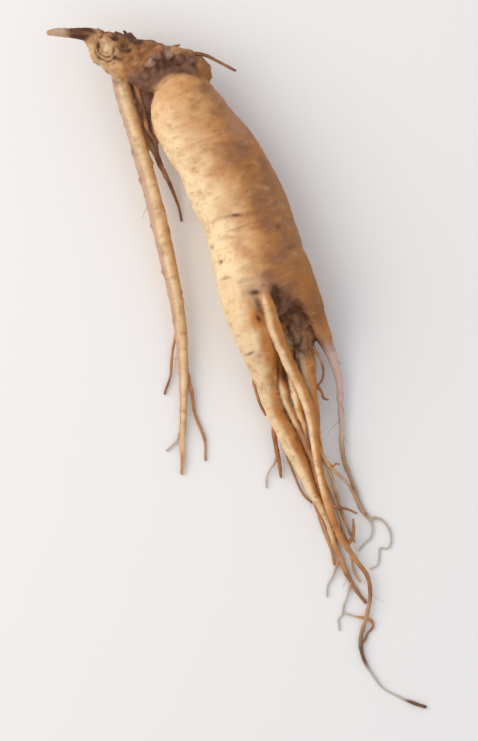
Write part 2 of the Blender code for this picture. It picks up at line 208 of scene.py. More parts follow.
# Strands with flesh on them: they are fused with the body into one skin
flesh = {
    "rhizome": (
        (-8.6, 45, 12.6, 5.6), (-9.4, 50.4, 12, 6.8), (-11.4, 54.6, 13.2, 8.2), (-16.2, 58.8, 15, 7.5),
        (-20.8, 61.8, 15.4, 6.7), (-24.2, 65.2, 15.7, 6.0), (-26.7, 68.2, 16.1, 4.8), (-28.2, 70.6, 16.6, 3.3),
    ),
    "scarLip": ((-29.6, 64.8, 16.8, 1.9), (-27.6, 66.9, 19, 2.5), (-24.8, 68.6, 19, 2.0), (-23.6, 69.4, 17.4, 1.2)),
    "budKnob": ((-22.6, 62.4, 19.4, 2.0), (-20.4, 65, 20.3, 2.5), (-18.2, 67, 18.6, 2.1), (-17, 68.2, 16.6, 1.2)),
    "neckKnob": ((-15.4, 57, 20.4, 1.9), (-13, 58.4, 21.6, 2.2), (-10.4, 60.2, 20.4, 1.9), (-9, 61.2, 18.6, 1.2)),
    "stemStub": (
        (-26.6, 69.4, 16.4, 3.0), (-29, 72, 17.4, 2.4), (-32, 73.4, 18, 1.95), (-35.5, 74.7, 18.6, 1.55),
        (-39, 76.1, 19.2, 1.3), (-41, 76.8, 19.6, 0.9),
    ),
    "sideRoot": (
        (-20.8, 62, 14.8, 3.8), (-23.8, 57, 14, 3.2), (-24.9, 51, 13.2, 2.7), (-25.1, 44, 12.2, 2.6),
        (-25.3, 36, 11, 2.7), (-25.6, 27, 9.8, 2.75), (-26.2, 16, 8.5, 2.75), (-27.2, 4, 7.2, 2.7),
        (-28.4, -9, 5.8, 2.5), (-30.2, -22, 4.4, 2.2), (-33.2, -35, 3.2, 1.8), (-37, -47, 2.2, 1.4),
        (-40.8, -58, 1.4, 1.0), (-44.4, -69, 0.8, 0.6),
    ),
    "nub": ((-3.8, 54.6, 15.4, 3.4), (-0.4, 53.2, 16.8, 2.9), (1.5, 50.6, 17.2, 2.6), (1.9, 48.2, 16.8, 1.9)),
    "leftCollar": (
        (-16, 55.5, 12, 3.4), (-17.6, 51.6, 11.6, 3.4), (-18.6, 47, 10.8, 2.9), (-19.5, 42.5, 9.8, 2.0),
        (-19.7, 38, 9, 1.4), (-19.5, 34, 8.2, 1.0),
    ),
    "neckCord": (
        (-20.2, 54, 12.8, 1.38), (-21.3, 48, 11.8, 1.38), (-21.7, 41, 10.4, 1.25), (-21.4, 34, 9, 1.05),
        (-20.6, 27, 7, 0.85), (-19.8, 20, 4.6, 0.65), (-19.3, 13, 2.2, 0.45), (-19.8, 8, 0.8, 0.4),
    ),
    "collarRidge": (
        (-15, 55, 20.4, 1.6), (-12.2, 57.2, 20.4, 1.1), (-9.6, 58.6, 19.7, 1.5), (-7.2, 58.6, 18.8, 0.8),
        (-5, 59.2, 18.0, 1.3), (-2.6, 58.2, 17.4, 0.7), (-0.9, 57.0, 16.8, 1.2), (-0.6, 54, 17.6, 1.4),
    ),
    "collarBud": ((-8.6, 55.6, 17, 2.6), (-6.4, 57.2, 17.6, 2.2), (-3.8, 57, 17, 2.1), (-2.2, 55.6, 16.6, 1.8)),
    "leftLeg": (
        (-5.4, -8, 15.8, 7.6), (-6.0, -16, 16.4, 9.4), (-7.0, -24, 16.4, 8.9), (-8.1, -32, 14.8, 7.7),
        (-9.0, -40, 12.0, 5.9), (-9.4, -46, 9.8, 4.6), (-9.7, -52, 7.8, 3.7), (-10, -58, 6.3, 3.1),
        (-9.6, -63.5, 5.4, 3.0), (-8.6, -69, 5, 3.1), (-7.8, -75, 4.4, 2.8), (-7.1, -81, 3.8, 2.4),
        (-6.6, -87, 3.1, 1.9), (-5.5, -93, 2.5, 1.45), (-4.9, -100, 2, 1.2), (-4.9, -108, 1.6, 0.9),
        (-4.3, -115, 1.4, 0.85), (-3.2, -121, 1.1, 0.75), (-1.7, -126.5, 0.7, 0.5),
    ),
    "rightLobe": (
        (4.6, -14, 10.6, 8.0), (4.8, -24, 10.0, 7.6), (4.8, -32, 8.8, 6.6), (4.5, -38.5, 8.0, 5.4),
        (3.9, -44.5, 7.8, 4.2), (3.2, -50, 7.6, 3.2), (2.5, -56, 7.4, 2.5), (1.9, -61.5, 6.9, 1.9),
        (1.4, -67, 6.4, 1.1), (0.9, -71, 6, 0.65), (0.2, -76, 5.6, 0.4), (-0.3, -80, 5.2, 0.25),
    ),
    "rightLeg": (
        (7.0, -9, 13.6, 6.4), (8.3, -18, 15.4, 6.7), (9.6, -26, 14.8, 5.5), (10.7, -33, 12.4, 4.0),
        (11.7, -39.5, 9.2, 2.9), (12.3, -45, 6.6, 2.1), (12.7, -51, 4.8, 1.6), (12.4, -56, 3.8, 1.3),
        (11.2, -61, 3.2, 1.1), (9.7, -66, 2.7, 0.95), (8.5, -71, 2.3, 0.9), (6.9, -76, 2, 0.8),
        (6.1, -82, 1.7, 0.75), (6.3, -88, 1.4, 0.75), (6.2, -94, 1.15, 0.75), (6.7, -98, 1, 0.8),
        (7.9, -101.3, 0.9, 0.6), (9.6, -101.5, 0.8, 0.42), (11.6, -103, 0.7, 0.36), (12.9, -106.5, 0.6, 0.33),
        (12.6, -110.4, 0.6, 0.31), (10.6, -112.3, 0.6, 0.3), (8.2, -111.5, 0.6, 0.29), (7.2, -113.8, 0.6, 0.28),
        (5.9, -116.5, 0.6, 0.27), (3.2, -117, 0.6, 0.24),
    ),
    "frontLeg": (
        (-2.5, -15, 23.2, 1.5), (-2.1, -20, 25.2, 1.8), (-1.9, -26, 24.6, 2.0), (-2.2, -33, 21.6, 2.2),
        (-1.9, -40, 17.8, 2.1), (-1.2, -46.5, 14.9, 2.0), (-0.4, -51.5, 13.2, 1.9), (0.3, -56, 11.7, 1.9),
        (0.4, -62, 10.2, 1.8), (-0.4, -68, 9.2, 1.6), (-1.6, -75, 8.6, 1.45), (-2.6, -82, 7.4, 1.35),
        (-3.2, -89, 6.4, 1.3), (-3.3, -96, 5.4, 1.3), (-2.8, -103, 4.5, 1.15), (-1.7, -108, 3.9, 0.95),
        (0, -112.5, 3.3, 0.82), (1.3, -117, 2.7, 0.72), (1.4, -121, 2.2, 0.66), (0.2, -126, 1.7, 0.64),
        (-2.2, -130.5, 1.3, 0.66), (-4.8, -134, 1.1, 0.62), (-6.7, -138, 0.95, 0.68), (-7.5, -142.5, 0.85, 0.66),
        (-7, -148, 0.7, 0.42), (-5, -153.3, 0.6, 0.34), (-1.6, -157.6, 0.55, 0.34), (2.4, -161.2, 0.55, 0.52),
        (6.3, -164.2, 0.6, 0.56),
    ),
    "underLeg": (
        (2.6, -32, 6.6, 4.4), (1.4, -42, 3.6, 2.6), (-0.6, -52, 2, 1.6), (-2.8, -64, 1.4, 1.1),
        (-4.4, -77, 1.2, 0.9), (-6.4, -88, 1, 0.8), (-7, -97, 0.85, 0.65), (-6.6, -106, 0.7, 0.5),
        (-7.4, -112, 0.6, 0.4),
    ),
    "middleLeg": (
        (-5.2, -42, 10, 2.6), (-5.7, -49, 9.2, 1.9), (-5.5, -53, 8.8, 2.0), (-5.9, -57, 7.6, 1.3), (-4.9, -65, 6, 1.0),
        (-4.2, -72, 5.2, 0.95), (-3.8, -79, 4.7, 0.9), (-4, -86, 4.3, 0.9), (-3.7, -93, 3.9, 0.8),
        (-3, -99, 3.2, 0.75), (-2.1, -104.5, 2.5, 0.6), (-1.2, -109.5, 1.8, 0.4),
    ),
    "knobbedLeg": (
        (-0.6, -47, 10.4, 2.4), (-1.7, -53, 9.8, 1.9), (-2.1, -57, 8.8, 1.8), (-2.6, -61, 7.8, 1.2), (-3.1, -67, 6.8, 0.8),
        (-3.3, -74, 6.2, 0.5),
    ),
}

# Rootlets too thin to fuse: they are tubes of their own, sunk into what they grow from
rootlets = {
    "crownRootlet": (
        (-3, 56.6, 16.8, 1.0), (0.8, 56.2, 17.4, 0.65), (4, 54.6, 17.5, 0.55), (6.6, 52.3, 17, 0.5),
        (9, 49.8, 16, 0.5), (11.2, 47.5, 15, 0.42),
    ),
    "neckThread": (
        (-19.4, 56, 15, 1.5), (-20.4, 50, 14, 0.9), (-20.2, 44.5, 12.6, 0.75), (-20.9, 39, 11.6, 0.7),
        (-19.9, 33.5, 10, 0.6), (-20.4, 28, 8.4, 0.5), (-19.6, 23, 6.8, 0.42),
    ),
    "scaleOne": ((-24.6, 69.6, 15.6, 1.3), (-25.4, 71.4, 16, 0.9), (-26.2, 72.9, 16.4, 0.5)),
    "scaleTwo": ((-21.6, 67.6, 15.2, 1.5), (-22.2, 69.6, 15.6, 1.1), (-23.2, 71.2, 15.8, 0.4)),
    "scaleThree": ((-19.6, 67, 15, 1.5), (-20, 68.8, 15.2, 1.1), (-21, 70.6, 15.4, 0.4)),
    "scaleFour": ((-17.8, 65.4, 14.6, 1.4), (-17.8, 67.6, 14.8, 1.1), (-18.6, 70, 15.2, 0.4)),
    "scaleFive": ((-16.8, 64, 14.4, 1.3), (-16.2, 66, 14.4, 0.9), (-16.6, 68.2, 14.8, 0.35)),
    "scaleSix": ((-8.2, 57.6, 17.8, 1.0), (-7.4, 59.4, 18, 0.6), (-5.6, 60.5, 18.2, 0.35), (-3.4, 60.3, 18, 0.3)),
    "sideTip": (
        (-33.4, -36, 3.1, 1.4), (-33.6, -44, 2, 0.7), (-34.8, -52, 1.2, 0.55), (-34.4, -60, 0.8, 0.45),
        (-36.2, -67, 0.6, 0.35),
    ),
    "sideWhisker": (
        (-29.4, -16, 5, 1.6), (-31.8, -24, 3.6, 0.62), (-35.6, -31, 2.2, 0.5), (-38.2, -38, 1.2, 0.42),
        (-42, -43, 0.7, 0.34),
    ),
    "sideHair": ((-39.6, -54.6, 1.6, 0.8), (-43, -58.6, 1, 0.45), (-47, -60.6, 0.6, 0.34)),
    "leftEdge": ((-11, -40, 9.5, 1.0), (-13.6, -48, 7.6, 0.6), (-13.9, -54, 6.2, 0.5), (-13.4, -59.5, 5, 0.42)),
    "leftSpur": (
        (-10, -60, 5, 1.3), (-12.4, -65, 4.2, 1.0), (-13.4, -70, 3.2, 0.85), (-14.1, -75, 2.2, 0.7),
        (-14.9, -80, 1.1, 0.45),
    ),
    "leftWhisker": (
        (-13.2, -71.5, 2.8, 0.6), (-15.3, -75, 2, 0.42), (-17.5, -76.7, 1.4, 0.32), (-19.4, -78.7, 0.9, 0.32),
        (-20.3, -81.6, 0.6, 0.28),
    ),
    "leftHair": (
        (-9.2, -68, 3.8, 0.8), (-10.9, -75, 2.6, 0.5), (-10.5, -82, 1.6, 0.4), (-9.8, -87.5, 0.9, 0.42),
        (-8.2, -90.6, 0.7, 0.35),
    ),
    "rightTwig": (
        (-0.8, -74, 8.6, 0.9), (0.6, -79.6, 7.4, 0.62), (1.8, -82.8, 6.2, 0.52), (3.9, -86.6, 4.5, 0.46),
        (5.4, -91, 2.6, 0.44), (6.2, -95.5, 1.4, 0.5),
    ),
    "rightHook": ((0.9, -80.6, 7, 0.5), (2, -81.6, 7.2, 0.42), (3.2, -81, 7.3, 0.36), (4.2, -81.6, 7.1, 0.3)),
    "bundleOuter": (
        (-0.8, -73, 7.8, 0.9), (0.2, -83, 5.4, 0.62), (0.3, -90, 4.2, 0.54), (0.1, -96, 3.2, 0.52),
        (0.4, -102, 2.2, 0.46), (1.1, -107, 1.4, 0.36),
    ),
    "bundleInner": (
        (-1.9, -80, 7, 0.9), (-1.2, -91, 4.7, 0.64), (-0.7, -98, 3.4, 0.58), (-1.3, -104, 2.4, 0.58),
        (-1.3, -110, 1.6, 0.5), (-1.9, -115, 1.1, 0.4), (-1.1, -119.5, 0.8, 0.32),
    ),
    "crossTwig": ((-3.4, -92.4, 5.8, 0.7), (-0.3, -94.7, 5, 0.46), (2.4, -96.2, 3.8, 0.42), (4.7, -98.4, 2.6, 0.34)),
    "bundleSpur": ((-1.8, -107, 3.6, 0.8), (0.6, -105.6, 3.4, 0.6), (2, -102.8, 3.2, 0.55), (2.9, -99.8, 3, 0.36)),
    "rightCurl": (
        (7.2, -99.4, 1, 0.6), (8.2, -103.8, 0.8, 0.34), (6.7, -107.3, 0.7, 0.3), (3.8, -108.8, 0.65, 0.28),
        (1.7, -110.3, 0.6, 0.24),
    ),
    "lobeHook": ((3.4, -54, 7.4, 1.0), (5.6, -57, 6.4, 0.5), (5.8, -59.8, 5.6, 0.42), (7, -60.8, 5, 0.34)),
    "lobeLoop": (
        (4.6, -56, 6.9, 0.5), (7, -54.4, 6.9, 0.42), (8.5, -51.2, 7.2, 0.4), (8.6, -47.4, 7.8, 0.46),
        (7.4, -43.6, 8.6, 0.7),
    ),
    "tailCurl": (
        (-4.6, -109.4, 1.5, 0.7), (-6.8, -113, 1.1, 0.46), (-9, -115.6, 0.8, 0.38), (-11.3, -117.6, 0.65, 0.31),
        (-12.8, -121, 0.55, 0.26),
    ),
    "tailWhisker": (
        (-3.7, -118.4, 1.2, 0.6), (-6.8, -123.2, 0.8, 0.34), (-8.4, -125.4, 0.65, 0.3), (-9.4, -128, 0.6, 0.28),
        (-11.5, -129.2, 0.55, 0.27), (-12.3, -132.2, 0.5, 0.23),
    ),
    "tailKnee": (
        (-2.8, -131.4, 1.3, 0.5), (-1.5, -132.8, 1, 0.44), (-1.6, -134.9, 0.8, 0.4), (-3.6, -136.2, 0.75, 0.38),
        (-5.2, -137.8, 0.8, 0.4), (-6.9, -138.6, 0.9, 0.4),
    ),
    "tailCross": ((-3.2, -131.2, 1.3, 0.5), (-6.2, -129.7, 0.9, 0.32), (-9.6, -127.4, 0.7, 0.28)),
}

skinMake = {
    "voxel": 0.46,          # mm, the cell in which flesh strands melt together
    "thinnest": 1.0,        # mm, the radius below which a strand leaves the skin and goes on as a tube
    "meltRounds": 5,        # smoothing rounds after the melting
    "bodySides": 90,
    "strandSides": 40,
}


def bodyPath():
    # The body's axis: height = gap under it + half the body's height
    length = rootBody["crownY"] - rootBody["forkY"]
    rows = []
    for share, x, gap, width in rootBody["rows"]:
        radius = width * rootBody["radius"]
        rows.append((x, rootBody["crownY"] - share * length, gap + radius * rootBody["flatness"], radius))
    return smoothPath(rows, 0.8)


def fleshPart(points):
    # The stretch of a strand that is thick enough to fuse
    path = smoothPath(points, 0.7)
    thin = np.flatnonzero(path[:, 3] < skinMake["thinnest"])
    return path[: thin[0]] if len(thin) else path


def thinPart(points):
    # The rest of it, from a little before the thick stretch ends
    path = smoothPath(points, 0.9)
    thin = np.flatnonzero(path[:, 3] < skinMake["thinnest"])
    if len(thin) == 0:
        return None
    return path[max(0, thin[0] - 5):]


axes = {"body": bodyPath()}
for name, points in flesh.items():
    axes[name] = fleshPart(points)
print("axes laid:", len(axes), "flesh strands")


# The skin: body, crown and legs melted into one surface

shapes = []
for name, path in axes.items():
    if name == "body":
        shapes.append(carryRing(roundEnds(path), skinMake["bodySides"], rootBody["flatness"]))
    else:
        shapes.append(carryRing(roundEnds(path), skinMake["strandSides"]))
skin = meshObject("rootSkin", shapes)
melt = skin.modifiers.new("melt", "REMESH")
melt.mode = "VOXEL"
melt.voxel_size = skinMake["voxel"] * mm
melt.adaptivity = 0.0
bpy.context.view_layer.update()
melted = bpy.data.meshes.new_from_object(skin.evaluated_get(bpy.context.evaluated_depsgraph_get()))
skin.modifiers.clear()
skin.data = melted
count = len(melted.vertices)
edges = np.empty(len(melted.edges) * 2, np.int64)
melted.edges.foreach_get("vertices", edges)
edges = edges.reshape(-1, 2)
points = relax(readPoints(melted), edges, count, skinMake["meltRounds"])
writePoints(melted, points)
print("skin melted:", count, "vertices,", len(melted.polygons), "faces")

# Which strand each point of the skin belongs to, how far along it and how far round it
names = list(axes)
allRows = np.vstack([axes[name] for name in names])
owner = np.concatenate([np.full(len(axes[name]), i) for i, name in enumerate(names)])
lengths, acrossAll, upAll = [], [], []
for name in names:
    path = axes[name]
    steps = np.linalg.norm(np.diff(path[:, :3], axis=0), axis=1)
    lengths.append(np.concatenate([[0], np.cumsum(steps)]))
    _, across, up = pathFrames(path)
    acrossAll.append(across)
    upAll.append(up)
lengths = np.concatenate(lengths)
acrossAll, upAll = np.vstack(acrossAll), np.vstack(upAll)
nearest = np.empty(count, np.int64)
seam = np.empty(count)
firstRows = np.flatnonzero(np.diff(owner, prepend=-1))
for start in range(0, count, 3000):
    part = points[start:start + 3000]
    gap = np.linalg.norm(part[:, None, :] - allRows[None, :, :3], axis=2) - allRows[None, :, 3]
    nearest[start:start + 3000] = gap.argmin(axis=1)
    closest = np.partition(np.minimum.reduceat(gap, firstRows, axis=1), 1, axis=1)
    seam[start:start + 3000] = closest[:, 1] - closest[:, 0]
strand = owner[nearest]
along = lengths[nearest] + 0.0
radius = allRows[nearest, 3]
offset = points - allRows[nearest, :3]
angle = np.arctan2((offset * upAll[nearest]).sum(1), (offset * acrossAll[nearest]).sum(1))
onBody = (strand == names.index("body")).astype(float)
crownNames = ("rhizome", "scarLip", "budKnob", "neckKnob", "collarRidge", "nub")
onCrown = np.isin(strand, [names.index(n) for n in crownNames]).astype(float)
onStub = (strand == names.index("stemStub")).astype(float)
onSide = (strand == names.index("sideRoot")).astype(float)
onLeg = 1 - np.clip(onBody + onCrown + onStub + onSide, 0, 1)
onBody, onCrown, onStub, onSide, onLeg = (
    relax(mask, edges, count, 12) for mask in (onBody, onCrown, onStub, onSide, onLeg)
)
x, y, z = points.T
print("skin mapped to its strands")

# Relief
relief = {
    "ringDepth": 0.16,       # mm, fine furrows that run across the body
    "ringSwell": 0.20,       # mm, the low swells between them
    "grooveDepth": 0.22,     # mm, furrows along the legs
    "crownLumps": 0.55,      # mm
    "scarDepth": 0.42,       # mm, the nested rings of the stem scar
    "lenticels": 64,         # short raised scars across the body
    "lenticelDepth": 0.22,
}
normals = readNormals(melted)
round3 = np.stack([np.cos(angle) * radius, np.sin(angle) * radius, y], -1)
lift = np.zeros(count)
creaseAndShade = np.zeros(count)

# Across the body: noise stretched round it, whose zero lines are the furrows
low = roughNoise(points, 9.0, 11, 2)
swell = cellNoise(round3 / (13, 13, 3.1), 21) + 0.5 * cellNoise(round3 / (9, 9, 1.5), 22)
furrow = bump(cellNoise(round3 / (14, 14, 1.5), 23), 0.15) * blendStep(-0.2, 0.5, cellNoise(points / 5.2, 24))
hairline = bump(cellNoise(round3 / (8, 8, 0.75), 25), 0.14) * blendStep(-0.1, 0.5, cellNoise(points / 3.6, 26))
bodyShare = onBody + 0.5 * onSide
lift += bodyShare * (relief["ringSwell"] * swell * 0.6 - relief["ringDepth"] * (furrow + 0.45 * hairline))
creaseAndShade += bodyShare * (0.17 * furrow + 0.11 * hairline)

# Along the legs: noise stretched lengthways
along3 = np.stack([np.cos(angle) * radius, np.sin(angle) * radius, along], -1)
grooves = bump(cellNoise(along3 / (1.7, 1.7, 9), 31), 0.16) * blendStep(0.0, 0.5, cellNoise(points / 5.0, 32))
nicks = bump(cellNoise(along3 / (4.5, 4.5, 0.8), 33), 0.15) * blendStep(-0.2, 0.4, cellNoise(points / 3.2, 34))
thick = np.clip(radius / 4, 0.25, 1)
legShare = onLeg + 0.7 * onSide
# Where two leg strands meet: a shallow groove, and painted shade darkening it
seamLine = bump(seam, 0.55) * onLeg * blendStep(-34, -42, y)
lift -= 0.25 * seamLine
creaseAndShade += 0.45 * seamLine
lift -= legShare * thick * (relief["grooveDepth"] * grooves + 0.12 * nicks)
lift += legShare * thick * 0.28 * roughNoise(along3 / (1, 1, 2.2), 2.6, 35, 2)
creaseAndShade += legShare * (0.30 * grooves + 0.30 * nicks) * blendStep(8.5, 5.0, radius)

# The crown: lumps, and the nested rings of the scar on its top
slanted = np.stack([x * 0.82 + (y - 60) * 0.57, (y - 60) * 0.82 - x * 0.57, z], -1)
lift += onCrown * relief["crownLumps"] * (0.7 * roughNoise(points, 3.0, 41, 3) + 0.5 * roughNoise(slanted / (1, 2.2, 1), 1.1, 42, 2))
creaseAndShade += onCrown * 0.7 * bump(cellNoise(points / 1.9, 44), 0.13) * blendStep(-0.2, 0.4, cellNoise(points / 3.3, 45))
creaseAndShade += onCrown * 0.5 * bump(cellNoise(slanted / (0.8, 2.4, 1.2), 47), 0.16) * blendStep(-0.3, 0.3, cellNoise(points / 2.6, 43))
facesUp = blendStep(0.1, 0.6, normals[:, 2])


def pit(cx, cy, width, height, turn=0.0):
    # Distance from (cx, cy) in an ellipse's own measure: 1 on its edge; turn in degrees
    c, s = math.cos(math.radians(turn)), math.sin(math.radians(turn))
    dx, dy = x - cx, y - cy
    return np.hypot((dx * c + dy * s) / width, (dy * c - dx * s) / height)


scar = pit(-25.2, 66.6, 0.95, 1.15, -12) + 0.3 * cellNoise(points / 2.0, 46)
rings = np.cos(scar * 2 * math.pi / 1.15)
bearing = np.arctan2(y - 66.6, x + 25.2)
leftOf = blendStep(-0.1, 0.6, np.cos(bearing - math.radians(212)))
scarZone = facesUp * onCrown * (1 - blendStep(4.4, 5.6, scar)) * (0.12 + 0.88 * leftOf) * blendStep(1.2, 2.2, scar)
lift += scarZone * relief["scarDepth"] * rings + facesUp * onCrown * 0.5 * bump(scar, 1.6)
creaseAndShade = creaseAndShade * (1 - scarZone) + scarZone * 0.9 * blendStep(0.0, 0.9, -rings)
crownPits = (
    (-27.6, 67.8, 0.5, 1.5, -8, 1.0, 1.3),
    (-23.3, 64.9, 0.4, 1.6, -25, 0.5, 0.8),
    (-25.8, 70.2, 1.0, 0.4, 25, 0.5, 0.8),
    (-20.0, 63.2, 1.6, 0.5, -10, 0.6, 0.9),
    (-20.1, 65.2, 1.6, 1.4, 20, 1.2, 1.1),
    (-21.6, 67.6, 1.2, 0.5, -35, 0.6, 0.9),
    (-18.6, 63.2, 0.8, 0.6, 0, 0.5, 0.7),
    (-15.6, 63.0, 0.7, 0.6, 0, 0.4, 0.6),
    (-12.3, 57.6, 0.9, 0.7, 10, 0.6, 0.8),
    (-6.8, 56.6, 1.4, 0.7, -25, 0.5, 0.6),
    (-23.6, 62.2, 0.6, 0.9, 20, 0.5, 0.6),
    (-21.2, 68.4, 1.6, 0.7, -20, 0.6, 1.0),
    (-24.9, 71.6, 0.8, 0.6, -20, 0.5, 0.9),
    (-17.6, 67.6, 1.4, 0.6, -40, 0.5, 0.8),
    (-9.2, 55.6, 1.1, 1.5, 10, 0.7, 0.8),
    (-5.6, 55.2, 0.8, 1.6, 25, 0.6, 0.7),
    (-11.8, 54.6, 0.8, 1.2, -15, 0.5, 0.7),
    (-3.2, 58.2, 0.6, 0.9, 0, 0.5, 0.7),
    (-15.2, 55.6, 0.7, 1.0, 0, 0.4, 0.6),
    (-0.8, 52.0, 0.7, 2.2, 12, 0.8, 0.9),
)
for cx, cy, width, height, turn, depth, dark in crownPits:
    d = pit(cx, cy, width, height, turn)
    zone = facesUp * (onCrown + 0.3 * onBody)
    lift += zone * (0.35 * depth * bump(d - 1.5, 0.5) - depth * bump(d, 1.0))
    creaseAndShade += zone * dark * bump(d, 1.05)

# Marks that the body carries: x, y, half width, half height, turn, depth, darkness
bodyMarks = (
    (-4.6, 3.6, 3.6, 0.42, -8, 0.30, 0.75), (-2.6, 3.2, 1.4, 0.38, -25, 0.20, 0.7),
    (1.4, -2.4, 2.2, 0.30, -22, 0.18, 0.55), (10.5, -11.5, 2.8, 0.40, -3, 0.2, 0.5),
    (-12.2, -14.5, 1.7, 0.55, 0, 0.15, 0.55), (-6.8, 17.8, 2.2, 0.40, -8, 0.22, 0.5),
    (-12.0, -9.0, 0.75, 0.62, 0, 0.35, 0.9), (8.8, -4.1, 1.0, 0.8, 20, 0.3, 0.6), (-13.6, -3.6, 0.8, 0.7, 0, 0.3, 0.6),
    (-11.6, 13.6, 0.9, 1.3, 0, 0.18, 0.35), (6.4, 5.2, 2.0, 0.30, -15, 0.15, 0.4), (4.8, 9.4, 1.3, 0.9, 0, 0.12, 0.3),
    (-9.6, -2.4, 1.4, 0.32, -5, 0.15, 0.35), (11.2, 3.4, 2.2, 0.30, 0, 0.15, 0.35), (-5.0, -21.6, 2.4, 0.8, -14, 0.4, 0.45),
    (-1.8, -20.5, 1.1, 0.3, 12, 0.3, 0.45), (-6.2, -29.8, 0.6, 1.3, 10, 0.6, 1.0), (-12.2, -39.4, 1.5, 0.5, 0, 0.5, 0.7),
    (7.0, 13.0, 1.6, 0.35, -12, 0.12, 0.3), (-2.0, 26.5, 2.4, 0.4, -12, 0.15, 0.4), (3.5, 25.0, 1.8, 0.4, -20, 0.15, 0.4),
    (-6.0, 40.0, 2.2, 0.35, 5, 0.12, 0.3), (1.0, 36.0, 2.0, 0.4, -20, 0.15, 0.35), (5.5, 17.0, 2.4, 0.35, -15, 0.15, 0.35),
)
for cx, cy, width, height, turn, depth, dark in bodyMarks:
    d = pit(cx, cy, width, height, turn)
    zone = blendStep(0.05, 0.4, normals[:, 2]) * np.clip(onBody + onLeg, 0, 1)
    lift += zone * (0.3 * depth * bump(d - 1.6, 0.5) - depth * bump(d, 0.9))
    creaseAndShade += zone * dark * bump(d, 0.95)

# Knobs where rootlets broke off, down the left of the crown and the side root: x, y, z, size
brokenKnobs = (
    (-29.8, 62.6, 15.6, 0.9), (-28.6, 57.8, 15, 1.0), (-26.6, 55.8, 16.4, 0.9), (-25.0, 55.0, 16.8, 0.8),
    (-28.3, 51.4, 13.6, 0.8), (-28.4, 46.4, 12.6, 1.0), (-28.5, 42.0, 12.2, 0.9), (-28.7, 39.4, 11.4, 0.8),
    (-28.6, 33.0, 11.2, 0.8), (-28.8, 24.0, 9.6, 0.9), (-23.2, 28.0, 10.4, 0.8), (-29.6, 9.0, 7.6, 0.8),
    (-24.2, 6.0, 8.4, 0.7), (-30.8, -6.0, 6.4, 0.8), (-26.4, -14.0, 5.8, 0.7), (-32.0, -22.0, 4.6, 0.7),
    (-20.6, 51.4, 13.6, 0.9), (-21.6, 48.2, 13.2, 0.8), (-20.9, 45.2, 12.6, 0.9), (-21.8, 41.6, 11.8, 0.8),
    (-20.8, 38.4, 11.0, 0.8), (-21.6, 35.0, 10.2, 0.8), (-18.8, 49.6, 14.4, 0.8), (-19.4, 44.0, 12.8, 0.7),
)
for kx, ky, kz, size in brokenKnobs:
    d = np.linalg.norm(points - (kx, ky, kz), axis=1) / size
    lift += 0.55 * size * bump(d, 0.9)
    creaseAndShade += 0.75 * bump(d, 0.8) + 0.25 * bump(d - 1.6, 0.5)

# Small buds round the neck, each a knob with a dark ring round it: x, y, size
neckBuds = (
    (-13.4, 57.2, 1.9), (-10.2, 55.8, 1.5), (-7.6, 57.4, 1.5), (-4.8, 56.0, 1.7), (-2.0, 57.2, 1.3), (-1.0, 54.2, 1.4),
    (-16.2, 54.0, 1.3),
)
for kx, ky, size in neckBuds:
    d = pit(kx, ky, size, size * 0.8, 20) + 0.45 * roughNoise(points, 1.9, 67, 2)
    zone = facesUp * (1 - onSide)
    lift += zone * (0.22 * size * bump(d, 0.8) - 0.22 * size * bump(d - 1.2, 0.3))
    creaseAndShade += zone * 0.6 * bump(d - 1.2, 0.32)

# Short raised scars scattered round the body and the upper legs, each a lip with a dark slit
dice = np.random.default_rng(5)
for _ in range(relief["lenticels"]):
    at, turn = dice.uniform(-34, 46), dice.uniform(-math.pi, math.pi)
    half, thin = dice.uniform(0.9, 2.3), dice.uniform(0.22, 0.34)
    lean = dice.normal(0, 0.12)
    sideways = np.mod(angle - turn + math.pi, 2 * math.pi) - math.pi
    d = np.hypot(sideways * radius / half, (y - at + lean * sideways * radius) / thin)
    zone = np.clip(onBody + 0.6 * onLeg * (radius > 4), 0, 1)
    lift += zone * relief["lenticelDepth"] * (0.5 * bump(d - 1.9, 0.6) - bump(d, 0.8)) * 0.8
    creaseAndShade += zone * 0.32 * bump(d, 0.9)

# The furrows on both sides of the front leg's root, and the rough hollow right of it
onFront = relax((strand == names.index("frontLeg")).astype(float), edges, count, 3)
for cx, cy, width, height, depth, dark in ((-5.2, -26.5, 1.0, 5.0, 0.7, 0.16), (1.4, -25.5, 1.0, 4.5, 1.0, 0.5)):
    d = pit(cx, cy, width, height)
    lift -= depth * bump(d, 1.0) * facesUp * (1 - onFront)
    creaseAndShade += dark * bump(d, 1.0) * facesUp * (1 - onFront)
stray = 0.9 * roughNoise(points, 3.2, 48, 2)
hollowEdge = np.minimum(8.8, 3.0 - 0.72 * (y + 22))
hollowPlace = blendStep(-0.4, 0.8, x + 0.5 * stray) * blendStep(0.9, -0.9, x - hollowEdge + stray)
hollowPlace *= blendStep(-49, -43, y + 2.4 * stray) * blendStep(-20.5, -23, y + stray) * (1 - onFront)
hollowPlace *= blendStep(-0.3, 0.1, normals[:, 2])
hollowPlace = relax(hollowPlace, edges, count, 2)
softHollow = relax(hollowPlace, edges, count, 14)
lift += hollowPlace * 0.45 * roughNoise(points, 2.4, 49, 3) - 0.8 * softHollow
creaseAndShade += hollowPlace * 0.5 * bump(cellNoise(points / 1.6, 50), 0.2)

lift += 0.05 * roughNoise(points, 0.9, 51, 2)
shaped = points + normals * lift[:, None]
shaped[:, 2] = np.maximum(shaped[:, 2], 0.02)
flatSpot = (points[:, 2] < 0.35) & (onBody > 0.5)
shaped[flatSpot, 2] = np.minimum(shaped[flatSpot, 2], 0.03)
writePoints(melted, shaped)
